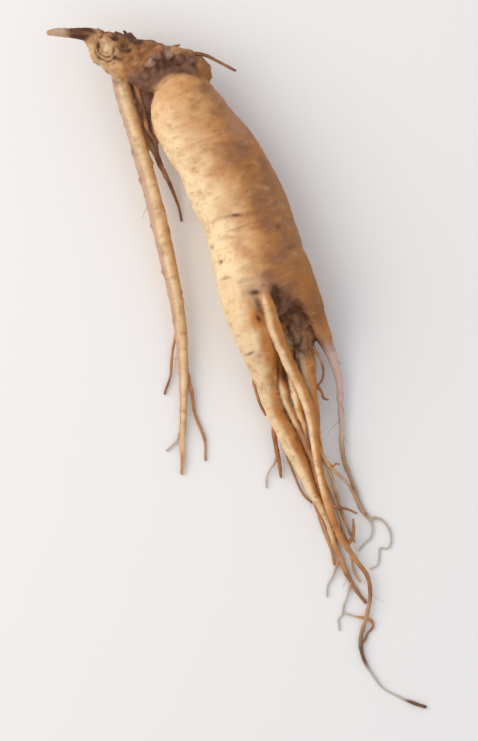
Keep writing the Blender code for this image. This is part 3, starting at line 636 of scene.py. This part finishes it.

# Darker where the skin is hollow, partly dirt and partly painted shade: how far a point lies under the smoothed surface
smoothed = relax(shaped, edges, count, 40)
hollow = ((smoothed - shaped) * readNormals(melted)).sum(1)
wide = relax(shaped, edges, count, 160)
deep = ((wide - shaped) * readNormals(melted)).sum(1)
creaseAndShade += 0.55 * blendStep(0.10, 0.55, hollow) + 0.6 * blendStep(0.35, 1.6, deep)
creaseAndShade = np.clip(relax(creaseAndShade, edges, count, 1), 0, 1)
print("skin relief done, lift from", round(lift.min(), 2), "to", round(lift.max(), 2), "mm")


# Colour masks, painted over the skin by place and by strand. Besides the root's own colours they hold painted light and
# shade, as if lit from the left: paler left sides, darker right sides, gaps and hollows

def zone(cx, cy, width, height):
    return np.hypot((x - cx) / width, (y - cy) / height)


wander = roughNoise(points, 6.0, 61, 3)
# Painted shade: a dark spot in the gap between the legs at the fork
deepGap = bump(zone(-4.3, -48.2, 2.1, 3.8), 1.0) * blendStep(14, 10, z)
sideways = offset[:, 0] / radius
# Painted light and shade: each leg is painted pale on the side facing left and ochre on the other side, as if lit from
# the left; ochre is also the legs' own colour
litShift = 0.35 * bump(y + 43, 5) + 0.40 * bump(y + 93, 8)
lit = blendStep(0.30, -0.35, sideways + 0.2 * wander - litShift) * (1 - 0.7 * onFront * blendStep(-86, -96, y))
ochreAndShade = onLeg * (0.9 + 0.2 * wander) * (1 - 0.85 * lit) * blendStep(-10, -24, y) + 0.6 * deepGap
# Painted shade: darker in that gap, in the hollow right of the front leg and where the right leg leaves the lobe
creaseAndShade += 0.55 * deepGap + 0.30 * softHollow * (1 - 0.5 * blendStep(3, 8, x))
creaseAndShade += 0.45 * bump(zone(4.0, -42.0, 2.0, 4.4), 1.0) * (1 - onFront) + 0.45 * bump(zone(10.0, -43.8, 1.6, 2.2), 1.0)
creaseAndShade = np.clip(creaseAndShade, 0, 1)
# Painted shade: orange-brown on the side root's unlit side and across the body's right side
ochreAndShade += 0.15 * onSide * (1 - lit) + onBody * 0.65 * blendStep(-4, 8, x + 2.5 * wander)
ochreAndShade += onBody * (0.30 * bump(y - 27 + 4 * wander, 7) + 0.25 * bump(y + 26 + 3 * wander, 5)) * blendStep(-15, -5, x)
# The dark band round the top of the shoulder, under the crown: partly stain, partly painted shade
dome = np.hypot((x + 8.4) / 11.4, (y - 36) / 16.2) + 0.03 * wander
stainAndShade = blendStep(0.95, 1.03, dome) * blendStep(34, 40, y) * (1 - blendStep(55.5, 58.5, y - 0.12 * (x + 10) + wander))
stainAndShade *= blendStep(-24, -21.5, x) * (1 - blendStep(-0.6, 1.2, x)) * (0.9 + 0.25 * wander) * (1 - onSide)
edgeLine = np.array([(-27.5, 73.2), (-24.5, 71.8), (-21.5, 70.4), (-18.6, 69.0), (-16.6, 67.2), (-15.0, 65.0)])
burnt = np.min(np.hypot(x[:, None] - edgeLine[:, 0], (y[:, None] - edgeLine[:, 1])), axis=1)
cord = relax((strand == names.index("neckCord")).astype(float), edges, count, 6)
stainAndShade = np.clip(stainAndShade + 0.8 * cord, 0, 1)
barkAndShade = onCrown * (0.30 + 0.65 * blendStep(-27, -18, x + wander)) * (0.85 + 0.35 * roughNoise(points, 2.6, 63, 3))
barkAndShade += 0.4 * onStub + 0.25 * onCrown * blendStep(-19, -15, x)
# Painted shade: the body's right side and the upper legs beside it are painted darker, in brown, mauve and purple-brown
# patches, as if lit from the left, less so underneath
shadeEdge = -1.8 - 2.8 * bump(y + 18, 9) - 3.0 * bump(y - 42, 9)
mauve = np.zeros(count)
under = 0.5 + 0.5 * blendStep(-0.6, 0.2, normals[:, 2])
shaded = np.clip(onBody + onLeg * blendStep(-40, -30, y), 0, 1) * (1 - onFront) * under
patches = roughNoise(points / (1.5, 1, 1.5), 3.4, 64, 3)
barkAndShade += shaded * 0.68 * blendStep(shadeEdge - 2, shadeEdge + 7.5, x + 2.6 * wander + 1.8 * patches) * (1 + 0.15 * patches)
barkAndShade += onBody * 0.14 * blendStep(0.1, 0.8, patches) * blendStep(-10, -2, x)
mauve += onBody * 0.05 * blendStep(0.0, 0.8, patches) * blendStep(-8, 4, x)
stainAndShade += onBody * 0.20 * blendStep(0.0, 0.9, patches + 0.3 * wander) * blendStep(-6, 6, x)
# Painted shade on the right flank of each leg below the fork
barkAndShade += onLeg * 0.50 * blendStep(0.45, 0.95, sideways + 0.2 * wander) * blendStep(-40, -48, y)
barkAndShade += 0.40 * bump(zone(-4.0, -20.5, 4.6, 2.6) + 0.2 * wander, 1.0) * (1 - onFront)
barkAndShade += 0.35 * bump(zone(0.6, -19.0, 2.8, 3.4) + 0.2 * wander, 1.0) * (1 - onFront)
barkAndShade += (strand == names.index("nub")) * 0.45 + (strand == names.index("collarRidge")) * 0.55
# Painted shade: darker brown along the right edge of the lobe above the right leg
barkAndShade += np.clip(onBody + onLeg, 0, 1) * 0.75 * bump(zone(12.0, -36.0, 3.2, 7.0), 1.0) * blendStep(7, 9, x)
barkAndShade += onLeg * 0.25 * blendStep(-92, -104, y) * (1 - 0.5 * lit)
barkAndShade += onSide * 0.5 * blendStep(-0.25, -0.75, sideways + 0.25 * wander) * blendStep(-0.6, 0.3, normals[:, 2] + wander)
# The hollow right of the front leg: purple-brown, partly dirt and partly painted shade
stainAndShade = np.clip(stainAndShade + softHollow * (0.50 + 0.3 * roughNoise(points, 2.2, 62, 2)), 0, 1)
mauve += onBody * 0.35 * blendStep(-2, 6, x - 0.18 * (y - 20) + 3 * wander) * blendStep(20, 40, y)
mauve += (strand == names.index("rightLeg")) * blendStep(-42, -47, y) * 0.95
mauve += onSide * 0.6 * blendStep(-0.25, -0.8, sideways + 0.25 * wander) * blendStep(-0.5, 0.4, normals[:, 2] + 0.8 * wander)
for px, py, size in ((-12.4, 57.6, 1.9), (-6.6, 58.8, 1.5), (-8.2, 57.2, 1.2), (-3.0, 56.4, 1.8), (-1.6, 54.2, 1.6), (-13.6, 55.6, 1.3)):
    mauve += onCrown * 0.75 * bump(zone(px, py, size, size * 0.8) + 0.2 * wander, 1.0)
mauve += 0.22 * bump(zone(-3.0, -20.5, 5.0, 3.0) + 0.2 * wander, 1.0) * (1 - onFront)
mauve += (strand == names.index("collarRidge")) * 0.75 * blendStep(-0.5, 0.1, roughNoise(points, 2.2, 66, 2))
mauve += (strand == names.index("nub")) * 0.3 * blendStep(-0.3, 0.5, wander)
mauve = np.clip(relax(mauve, edges, count, 4), 0, 1)
stainAndShade = np.clip(stainAndShade + 0.6 * onLeg * bump(zone(9.8, -43.6, 2.0, 2.6) + 0.3 * wander, 1.0), 0, 1)
husk = 1.15 * onStub * blendStep(-37, -33.5, x + 0.6 * wander) * (1 - blendStep(-28.4, -26.6, x + 0.4 * wander))
husk += onCrown * (1 - blendStep(0.9, 2.2, burnt + 0.7 * wander)) * 0.9
stubStreak = cellNoise(along3 / (0.7, 0.7, 4.0), 65)
husk = np.clip(husk * (0.9 + 0.35 * stubStreak), 0, 1)
grey = onStub * blendStep(-33, -37.5, x + 0.5 * wander) * (0.42 + 0.35 * stubStreak)
creaseAndShade = np.clip(creaseAndShade + onStub * 0.35 * blendStep(0.15, 0.7, stubStreak) + onStub * 0.25 * blendStep(0.2, 0.9, sideways), 0, 1)
# Painted light: the body's left side and each leg's lit side are painted pale, as if lit from the left
leftness = blendStep(2.0, -11.0, x + 2.5 * wander + 0.2 * np.maximum(y - 12, 0)) * (1 - 0.4 * blendStep(24, 46, y))
paleAndLit = onBody * leftness * 0.95 + onLeg * lit * 0.95 * blendStep(-125, -85, y)
paleAndLit *= 1 - 0.9 * (strand == names.index("rightLeg")) * blendStep(-48, -42, y)
paleAndLit += 0.9 * bump(zone(-5.7, -55.4, 2.0, 1.7), 1.0) * onLeg
# Painted highlight: a pale band along the middle of the side root; the crown's left end paler too
paleAndLit += onSide * 0.95 * bump(sideways - 0.02 + 0.15 * wander, 0.62) + onCrown * 0.5 * blendStep(-22, -29, x + 1.5 * wander)
paleAndLit += onCrown * 0.6 * bump(scar, 1.6)
paleAndLit = np.clip(relax(paleAndLit, edges, count, 4), 0, 1)
masks = {
    "creaseAndShade": creaseAndShade, "ochreAndShade": ochreAndShade, "stainAndShade": stainAndShade, "mauve": mauve, "husk": husk, "grey": grey, "paleAndLit": paleAndLit,
    "barkAndShade": barkAndShade,
}


def storeMasks(mesh, values):
    for name, value in values.items():
        layer = mesh.attributes.new(name, "FLOAT", "POINT")
        layer.data.foreach_set("value", np.clip(value, 0, 1).astype(np.float32))


storeMasks(melted, masks)
print("skin masks painted")


# Rootlets: tubes with knots and a slight wander, sunk into the skin

rootletMake = {"sides": 9, "spacing": 0.8, "wander": 0.28, "knots": 0.16}


def rootletTube(path, seed):
    # A circle carried along a path that wanders by noise, its radius swelling and thinning by noise too
    length = np.concatenate([[0], np.cumsum(np.linalg.norm(np.diff(path[:, :3], axis=0), axis=1))])
    fade = blendStep(0, 5, length)[:, None]
    probe = np.stack([length / 5.5, np.full_like(length, seed * 3.7), np.zeros_like(length)], -1)
    shift = np.stack([cellNoise(probe, 71), cellNoise(probe, 72), 0.5 * cellNoise(probe, 73)], -1)
    path = path.copy()
    path[:, :3] += rootletMake["wander"] * shift * fade
    path[:, 3] *= 1 + rootletMake["knots"] * cellNoise(probe * (4, 1, 1), 74)
    path[:, 2] = np.maximum(path[:, 2], path[:, 3] * 0.98)
    ended = roundEnds(path)
    verts, quads, triangles = carryRing(ended, rootletMake["sides"])
    share = np.concatenate([np.repeat(np.linspace(0, 1, len(ended)), rootletMake["sides"]), [0, 1]])
    return (verts, quads, triangles), share, share * length[-1]


tubes, shares, tones, reaches = [], [], [], []
thinStrands = {name: thinPart(points) for name, points in flesh.items()}
thinStrands = {name: path for name, path in thinStrands.items() if path is not None}
for name, points in rootlets.items():
    thinStrands[name] = smoothPath(points, rootletMake["spacing"])
for i, (name, path) in enumerate(thinStrands.items()):
    shape, share, reach = rootletTube(path, i)
    tubes.append(shape)
    shares.append(share)
    reaches.append(reach)
    tones.append(np.full(len(share), i))
thin = meshObject("rootlets", tubes)
share, tone = np.concatenate(shares), np.concatenate(tones)
tx, ty, tz = readPoints(thin.data).T
thinNames = list(thinStrands)
wanderThin = roughNoise(np.stack([tx, ty, tz], -1), 4.0, 81, 3)


def ofStrand(*wanted):
    return np.isin(tone, [thinNames.index(name) for name in wanted]).astype(float)


tail = ofStrand("frontLeg") * blendStep(-118, -146, ty)
ghost = ofStrand("rightLeg") * blendStep(-100.5, -102.5, ty) + ofStrand("rightCurl", "tailWhisker", "tailCross")
ghost += ofStrand("tailCurl", "leftWhisker", "sideHair") * blendStep(0.2, 0.6, share)
ghost += ofStrand("frontLeg") * blendStep(-145, -147.5, ty) * blendStep(-161.5, -159.5, ty)
upperRight = ofStrand("rightLeg") * blendStep(-78, -70, ty)
lowerRight = ofStrand("rightLeg") * blendStep(-72, -78, ty) * (1 - ghost)
plainThin = np.clip(1 - ghost - ofStrand("rightLeg", "stemStub"), 0, 1)
greyThin = 0.9 * ghost + 0.5 * upperRight + 0.3 * lowerRight + 0.9 * ofStrand("stemStub") + 0.4 * tail
darkThin = plainThin * (0.42 + 0.35 * wanderThin + 0.15 * blendStep(0.5, 1.0, share)) + 0.15 * ghost
darkThin += 0.55 * lowerRight + 0.15 * upperRight + 0.3 * ofStrand("crownRootlet")
darkThin += ofStrand("frontLeg") * (1.3 * bump(ty + 142.5, 3.6) + 1.2 * blendStep(-159.5, -161.5, ty) + 0.3 * bump(ty + 136, 2.5))
darkThin -= 0.25 * ofStrand("sideRoot", "sideTip", "sideWhisker", "bundleOuter", "bundleInner", "rightTwig")
legThin = ofStrand("leftLeg", "frontLeg", "middleLeg", "underLeg", "rightLobe", "sideRoot") * blendStep(-124, -104, ty)
# Painted light and shade on the thin legs: pale on the side facing left, darker and ochre on the other
litThin = legThin * blendStep(0.30, -0.35, readNormals(thin.data)[:, 0] + 0.2 * wanderThin) * (1 - 0.6 * ofStrand("frontLeg"))
darkThin *= (1 - 0.5 * litThin) * (1 - 0.85 * legThin * blendStep(-118, -104, ty))
inBundle = ofStrand("bundleOuter", "bundleInner", "rightTwig")
thinMasks = {
    "creaseAndShade": np.clip(darkThin, 0, 1.2) * 0.75,
    "ochreAndShade": np.clip(plainThin * (0.8 + 0.3 * wanderThin) * (1 - 0.85 * litThin) - 0.5 * (tail + inBundle), 0, 1),
    "stainAndShade": ofStrand("neckThread", "neckCord") * np.clip(0.55 + 0.5 * wanderThin, 0.1, 0.8),
    "barkAndShade": (0.25 * plainThin + 0.2 * legThin) * (1 - litThin),
    "mauve": 0.6 * upperRight + 0.25 * ghost + 0.1,
    "husk": 0.9 * ofStrand("scaleOne", "scaleTwo", "scaleThree", "scaleFour", "scaleFive") + 0.5 * ofStrand("scaleSix"),
    "grey": np.clip(greyThin, 0, 1),
    "paleAndLit": np.clip(0.3 + 0.6 * wanderThin + 0.5 * (tail + upperRight + inBundle) + 0.6 * litThin, 0, 0.9),
}

# Where a tube comes out of the skin, its masks are those of the nearest point of the skin, and fade to its own
reach = np.concatenate(reaches)
grown = np.isin(tone, [i for i, name in enumerate(thinNames) if name in flesh])
fade = np.where(grown, blendStep(11, 5, reach), blendStep(5, 2, reach))
rooted = np.flatnonzero(fade > 0)
thinPoints = np.stack([tx, ty, tz], -1)
skinPoints = readPoints(melted)
lengthSquared = (skinPoints ** 2).sum(1)
match = np.empty(len(rooted), np.int64)
for start in range(0, len(rooted), 100):
    part = thinPoints[rooted[start:start + 100]]
    match[start:start + 100] = (lengthSquared - 2 * part @ skinPoints.T).argmin(axis=1)
for name, value in thinMasks.items():
    value[rooted] += fade[rooted] * (np.clip(masks[name][match], 0, 1) - value[rooted])
storeMasks(thin.data, thinMasks)
print("rootlets made:", len(thinStrands), "tubes,", len(thin.data.polygons), "faces")


# Fine hairs: short curved threads on the legs and the side root

hairMake = {"count": 90, "rings": 10, "sides": 4, "length": (1.0, 3.6), "radius": (0.07, 0.13)}


def hairThreads(hosts, dice):
    # Each thread is p(t) = start + length (t * out + t^2 * bend), held above the surface it lies on
    total = hairMake["count"]
    which = dice.choice(len(hosts), total, p=[h[1] for h in hosts])
    start, outward = np.empty((total, 3)), np.empty((total, 3))
    for i, h in enumerate(which):
        path = hosts[h][0]
        k = int(dice.uniform(0.12, 0.97) * (len(path) - 2)) + 1
        tangent = path[k + 1, :3] - path[k - 1, :3]
        tangent /= np.linalg.norm(tangent)
        spread = np.cross(tangent, dice.normal(size=3))
        spread /= np.linalg.norm(spread)
        start[i] = path[k, :3] + spread * path[k, 3] * 0.8
        outward[i] = spread * 0.6 + tangent * 0.7
    length = dice.uniform(*hairMake["length"], total)
    bend = dice.normal(0, 0.6, (total, 3)) + (0, -0.35, -0.35)
    t = np.linspace(0, 1, hairMake["rings"])[None, :, None]
    centres = start[:, None, :] + length[:, None, None] * (t * outward[:, None, :] + t**2 * bend[:, None, :])
    centres += 0.35 * np.sin(dice.uniform(3, 7, (total, 1, 3)) * t + dice.uniform(0, 6, (total, 1, 3))) * t
    radii = dice.uniform(*hairMake["radius"], total)[:, None] * (1 - 0.65 * t[..., 0])
    centres[..., 2] = np.maximum(centres[..., 2], radii + 0.02)
    tubes = []
    for row, r in zip(centres, radii):
        tubes.append(carryRing(np.column_stack([row, r]), hairMake["sides"]))
    return tubes


hosts = [
    (smoothPath(flesh["sideRoot"][1:], 1.5), 0.24),
    (smoothPath(flesh["leftLeg"][5:], 1.5), 0.18),
    (smoothPath(flesh["rightLeg"][4:16], 1.5), 0.12),
    (smoothPath(flesh["frontLeg"][8:22], 1.5), 0.14),
    (smoothPath(flesh["underLeg"][2:], 1.5), 0.08),
    (smoothPath(flesh["middleLeg"][2:], 1.5), 0.08),
    (smoothPath(flesh["leftLeg"][9:], 1.5), 0.16),
]
hairs = meshObject("rootHairs", hairThreads(hosts, np.random.default_rng(12)))
hx, hy, hz = readPoints(hairs.data).T
hairNoise = roughNoise(np.stack([hx, hy, hz], -1), 5.0, 91, 2)
plain = np.zeros(len(hx))
storeMasks(hairs.data, {
    "creaseAndShade": np.clip(0.1 + 0.2 * hairNoise, 0, 1), "ochreAndShade": np.clip(0.5 + 0.5 * hairNoise, 0, 1), "stainAndShade": plain,
    "mauve": plain + 0.15, "husk": plain, "grey": plain + 0.25, "paleAndLit": plain + 0.3, "barkAndShade": plain,
})
print("hairs made:", hairMake["count"])

for piece in (skin, thin, hairs):
    piece.data.shade_smooth()


# Materials

def hexColour(code):
    # sRGB hex to linear red, green, blue
    parts = [int(code[i:i + 2], 16) / 255 for i in (1, 3, 5)]
    return tuple(c / 12.92 if c <= 0.04045 else ((c + 0.055) / 1.055) ** 2.4 for c in parts) + (1.0,)


def addNode(tree, kind, settings=(), links=()):
    # Adds a node, sets its properties or sockets, and links sockets to outputs
    node = tree.nodes.new(kind)
    for key, value in dict(settings).items():
        if isinstance(key, str) and hasattr(node, key):
            setattr(node, key, value)
        else:
            node.inputs[key].default_value = value
    for key, output in dict(links).items():
        tree.links.new(output, node.inputs[key])
    return node


# Fresh root skin: thin dry cork over moist flesh, so a soft broad sheen and a little light passing through
skinFinish = {
    # The orange-brown, dark brown, purple-brown and darkest brown below also serve as painted shade, and the cream as
    # painted light
    "tan": "#c9905a", "tanLight": "#d6a36d", "cream": "#f4dab0", "ochreAndShade": "#c67f3a", "mauve": "#ccb1a8",
    "stainAndShade": "#745246", "husk": "#4a2219", "grey": "#c9c0b6", "creaseAndShade": "#5e371e", "barkAndShade": "#945f30",
    "blotchSize": 6.0, "mottleSize": 2.6, "streakLength": 8.0, "streakWidth": 1.1, "speckSize": 0.7,   # mm
    "roughness": 0.58, "specular": 0.35, "through": 0.06,
}


def rootSkinMaterial():
    material = bpy.data.materials.new("freshRootCork")
    material.use_nodes = True
    tree = material.node_tree
    shader = tree.nodes["Principled BSDF"]
    f = skinFinish
    place = addNode(tree, "ShaderNodeTexCoord").outputs["Object"]
    blotch = addNode(tree, "ShaderNodeTexNoise", {"Scale": 1 / (f["blotchSize"] * mm), "Detail": 4.0, "Roughness": 0.6},
                     {"Vector": place})
    # The body lies along Y, so a pattern squeezed in Y makes streaks across it
    squeezed = addNode(tree, "ShaderNodeMapping", {"Scale": (
        1 / (f["streakLength"] * mm), 1 / (f["streakWidth"] * mm), 1 / (f["streakLength"] * mm))}, {"Vector": place})
    streak = addNode(tree, "ShaderNodeTexNoise", {"Scale": 1.0, "Detail": 4.0, "Roughness": 0.65, "Distortion": 0.4},
                     {"Vector": squeezed.outputs[0]})
    speck = addNode(tree, "ShaderNodeTexNoise", {"Scale": 1 / (f["speckSize"] * mm), "Detail": 3.0, "Roughness": 0.7},
                    {"Vector": place})
    flattened = addNode(tree, "ShaderNodeMapping", {"Scale": (
        0.6 / (f["mottleSize"] * mm), 1 / (f["mottleSize"] * mm), 0.6 / (f["mottleSize"] * mm))}, {"Vector": place})
    mottle = addNode(tree, "ShaderNodeTexNoise", {"Scale": 1.0, "Detail": 5.0, "Roughness": 0.62, "Distortion": 0.3},
                     {"Vector": flattened.outputs[0]})

    def ramp(output, low, high):
        return addNode(tree, "ShaderNodeMapRange", {"From Min": low, "From Max": high, "interpolation_type": "SMOOTHSTEP"},
                       {"Value": output}).outputs["Result"]

    def mixed(base, colour, share):
        node = addNode(tree, "ShaderNodeMix", {"data_type": "RGBA"})
        tree.links.new(share, node.inputs[0])
        tree.links.new(base, node.inputs[6])
        node.inputs[7].default_value = hexColour(colour)
        return node.outputs[2]

    def times(a, b):
        node = addNode(tree, "ShaderNodeMath", {"operation": "MULTIPLY"})
        for k, value in enumerate((a, b)):
            if isinstance(value, float):
                node.inputs[k].default_value = value
            else:
                tree.links.new(value, node.inputs[k])
        return node.outputs[0]

    def mask(name):
        return addNode(tree, "ShaderNodeAttribute", {"attribute_name": name}).outputs["Fac"]

    start = addNode(tree, "ShaderNodeMix", {"data_type": "RGBA"})
    tree.links.new(ramp(blotch.outputs[0], 0.35, 0.65), start.inputs[0])
    start.inputs[6].default_value = hexColour(f["tan"])
    start.inputs[7].default_value = hexColour(f["tanLight"])
    colour = start.outputs[2]
    # Cream over the pale parts: partly the root's own pale skin, partly painted light
    colour = mixed(colour, f["cream"], times(mask("paleAndLit"), ramp(blotch.outputs[0], 0.1, 0.55)))
    # Orange-brown: the legs' own colour, and painted shade on sides away from the light
    colour = mixed(colour, f["ochreAndShade"], mask("ochreAndShade"))
    # Dark brown: the crown's bark, and painted shade down the right side
    colour = mixed(colour, f["barkAndShade"], mask("barkAndShade"))
    colour = mixed(colour, f["creaseAndShade"], times(ramp(streak.outputs[0], 0.58, 0.80), 0.28))
    colour = mixed(colour, f["cream"], times(ramp(streak.outputs[0], 0.44, 0.25), 0.11))
    colour = mixed(colour, f["barkAndShade"], times(ramp(mottle.outputs[0], 0.50, 0.74), 0.42))
    colour = mixed(colour, f["cream"], times(ramp(mottle.outputs[0], 0.47, 0.28), 0.16))
    colour = mixed(colour, f["mauve"], mask("mauve"))
    colour = mixed(colour, f["grey"], mask("grey"))
    colour = mixed(colour, f["husk"], mask("husk"))
    # Purple-brown: stains, and painted shade round the neck and in the hollow
    colour = mixed(colour, f["stainAndShade"], mask("stainAndShade"))
    colour = mixed(colour, f["creaseAndShade"], times(ramp(speck.outputs[0], 0.60, 0.78), 0.35))
    # Darkest brown: furrows, pits and scars, and painted shade in hollows, gaps and where strands meet
    colour = mixed(colour, f["creaseAndShade"], mask("creaseAndShade"))
    tree.links.new(colour, shader.inputs["Base Color"])

    rough = addNode(tree, "ShaderNodeMapRange", {"From Min": 0.3, "From Max": 0.7, "To Min": f["roughness"] - 0.1,
                                                 "To Max": f["roughness"] + 0.12}, {"Value": blotch.outputs[0]})
    tree.links.new(rough.outputs["Result"], shader.inputs["Roughness"])
    height = addNode(tree, "ShaderNodeMath", {"operation": "ADD"})
    tree.links.new(times(streak.outputs[0], 0.7), height.inputs[0])
    tree.links.new(times(speck.outputs[0], 0.3), height.inputs[1])
    relief = addNode(tree, "ShaderNodeBump", {"Strength": 0.5, "Distance": 0.35 * mm}, {"Height": height.outputs[0]})
    tree.links.new(relief.outputs[0], shader.inputs["Normal"])
    shader.inputs["Specular IOR Level"].default_value = f["specular"]
    shader.inputs["Subsurface Weight"].default_value = f["through"]
    shader.inputs["Subsurface Radius"].default_value = (1.0, 0.45, 0.2)
    shader.inputs["Subsurface Scale"].default_value = 1.6 * mm
    return material


rootMaterial = rootSkinMaterial()
for piece in (skin, thin, hairs):
    piece.data.materials.clear()
    piece.data.materials.append(rootMaterial)
    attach(piece, "root")
    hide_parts("ginseng_root")
print("material on, pieces declared")


# Floor, light and camera

stageSet = {"floorColour": "#eeeef0", "floorSize": 4.0}
half = stageSet["floorSize"] / 2
floorMesh = bpy.data.meshes.new("paleFloor")
floorMesh.from_pydata([(-half, -half, 0), (half, -half, 0), (half, half, 0), (-half, half, 0)], [], [(0, 1, 2, 3)])
floor = bpy.data.objects.new("paleFloor", floorMesh)
bpy.context.scene.collection.objects.link(floor)
paper = bpy.data.materials.new("mattPaper")
paper.use_nodes = True
paper.node_tree.nodes["Principled BSDF"].inputs["Base Color"].default_value = hexColour(stageSet["floorColour"])
paper.node_tree.nodes["Principled BSDF"].inputs["Roughness"].default_value = 0.9
paper.node_tree.nodes["Principled BSDF"].inputs["Specular IOR Level"].default_value = 0.1
floorMesh.materials.append(paper)

cameraSet = {
    "lean": 18.0,                 # degrees that the root leans in the picture
    "centre": (-17.1, -43.3),     # mm, the point of the floor in the middle of the picture
    "pixelsPerMm": 3.15,
    "pictureHeight": 741,
    "lens": 180.0,
}
lean = math.radians(cameraSet["lean"])
rightward = np.array([math.cos(lean), -math.sin(lean), 0])
upward = np.array([math.sin(lean), math.cos(lean), 0])
centre = np.array([*cameraSet["centre"], 0]) * mm
seen = cameraSet["pictureHeight"] / cameraSet["pixelsPerMm"] * mm
away = seen * cameraSet["lens"] / 36
camera = bpy.data.objects.new("overhead", bpy.data.cameras.new("overhead"))
camera.data.lens = cameraSet["lens"]
camera.data.sensor_width = 36
camera.data.clip_start = 0.05
camera.location = centre + np.array([0, 0, away + 0.012])
camera.rotation_euler = (0, 0, -lean)
bpy.context.scene.collection.objects.link(camera)
bpy.context.scene.camera = camera

# x to the picture's right, y to its top, z up, all in metres from the picture's middle; size in metres, power in watts
lightSet = {
    "key": ((-0.62, 0.20, 0.52), 0.90, 4.1, "#fff1de"),
}
for name, (place, size, power, colour) in lightSet.items():
    lamp = bpy.data.objects.new(name, bpy.data.lights.new(name, "AREA"))
    lamp.data.shape = "DISK"
    lamp.data.size = size
    lamp.data.energy = power
    lamp.data.color = hexColour(colour)[:3]
    at = centre + rightward * place[0] + upward * place[1] + np.array([0, 0, place[2]])
    aim = centre + np.array([0, 0.02, 0.01]) - at
    aim = aim / np.linalg.norm(aim)
    lamp.location = at
    lamp.rotation_euler = (math.acos(-aim[2]), 0, math.atan2(aim[1], aim[0]) - math.pi / 2)
    bpy.context.scene.collection.objects.link(lamp)

sky = bpy.data.worlds.new("softRoom")
bpy.context.scene.world = sky
sky.use_nodes = True
sky.node_tree.nodes["Background"].inputs[0].default_value = hexColour("#f4f5f7")
sky.node_tree.nodes["Background"].inputs[1].default_value = 0.80
bpy.context.scene.view_settings.view_transform = "Standard"
print("stage, lights and camera set")
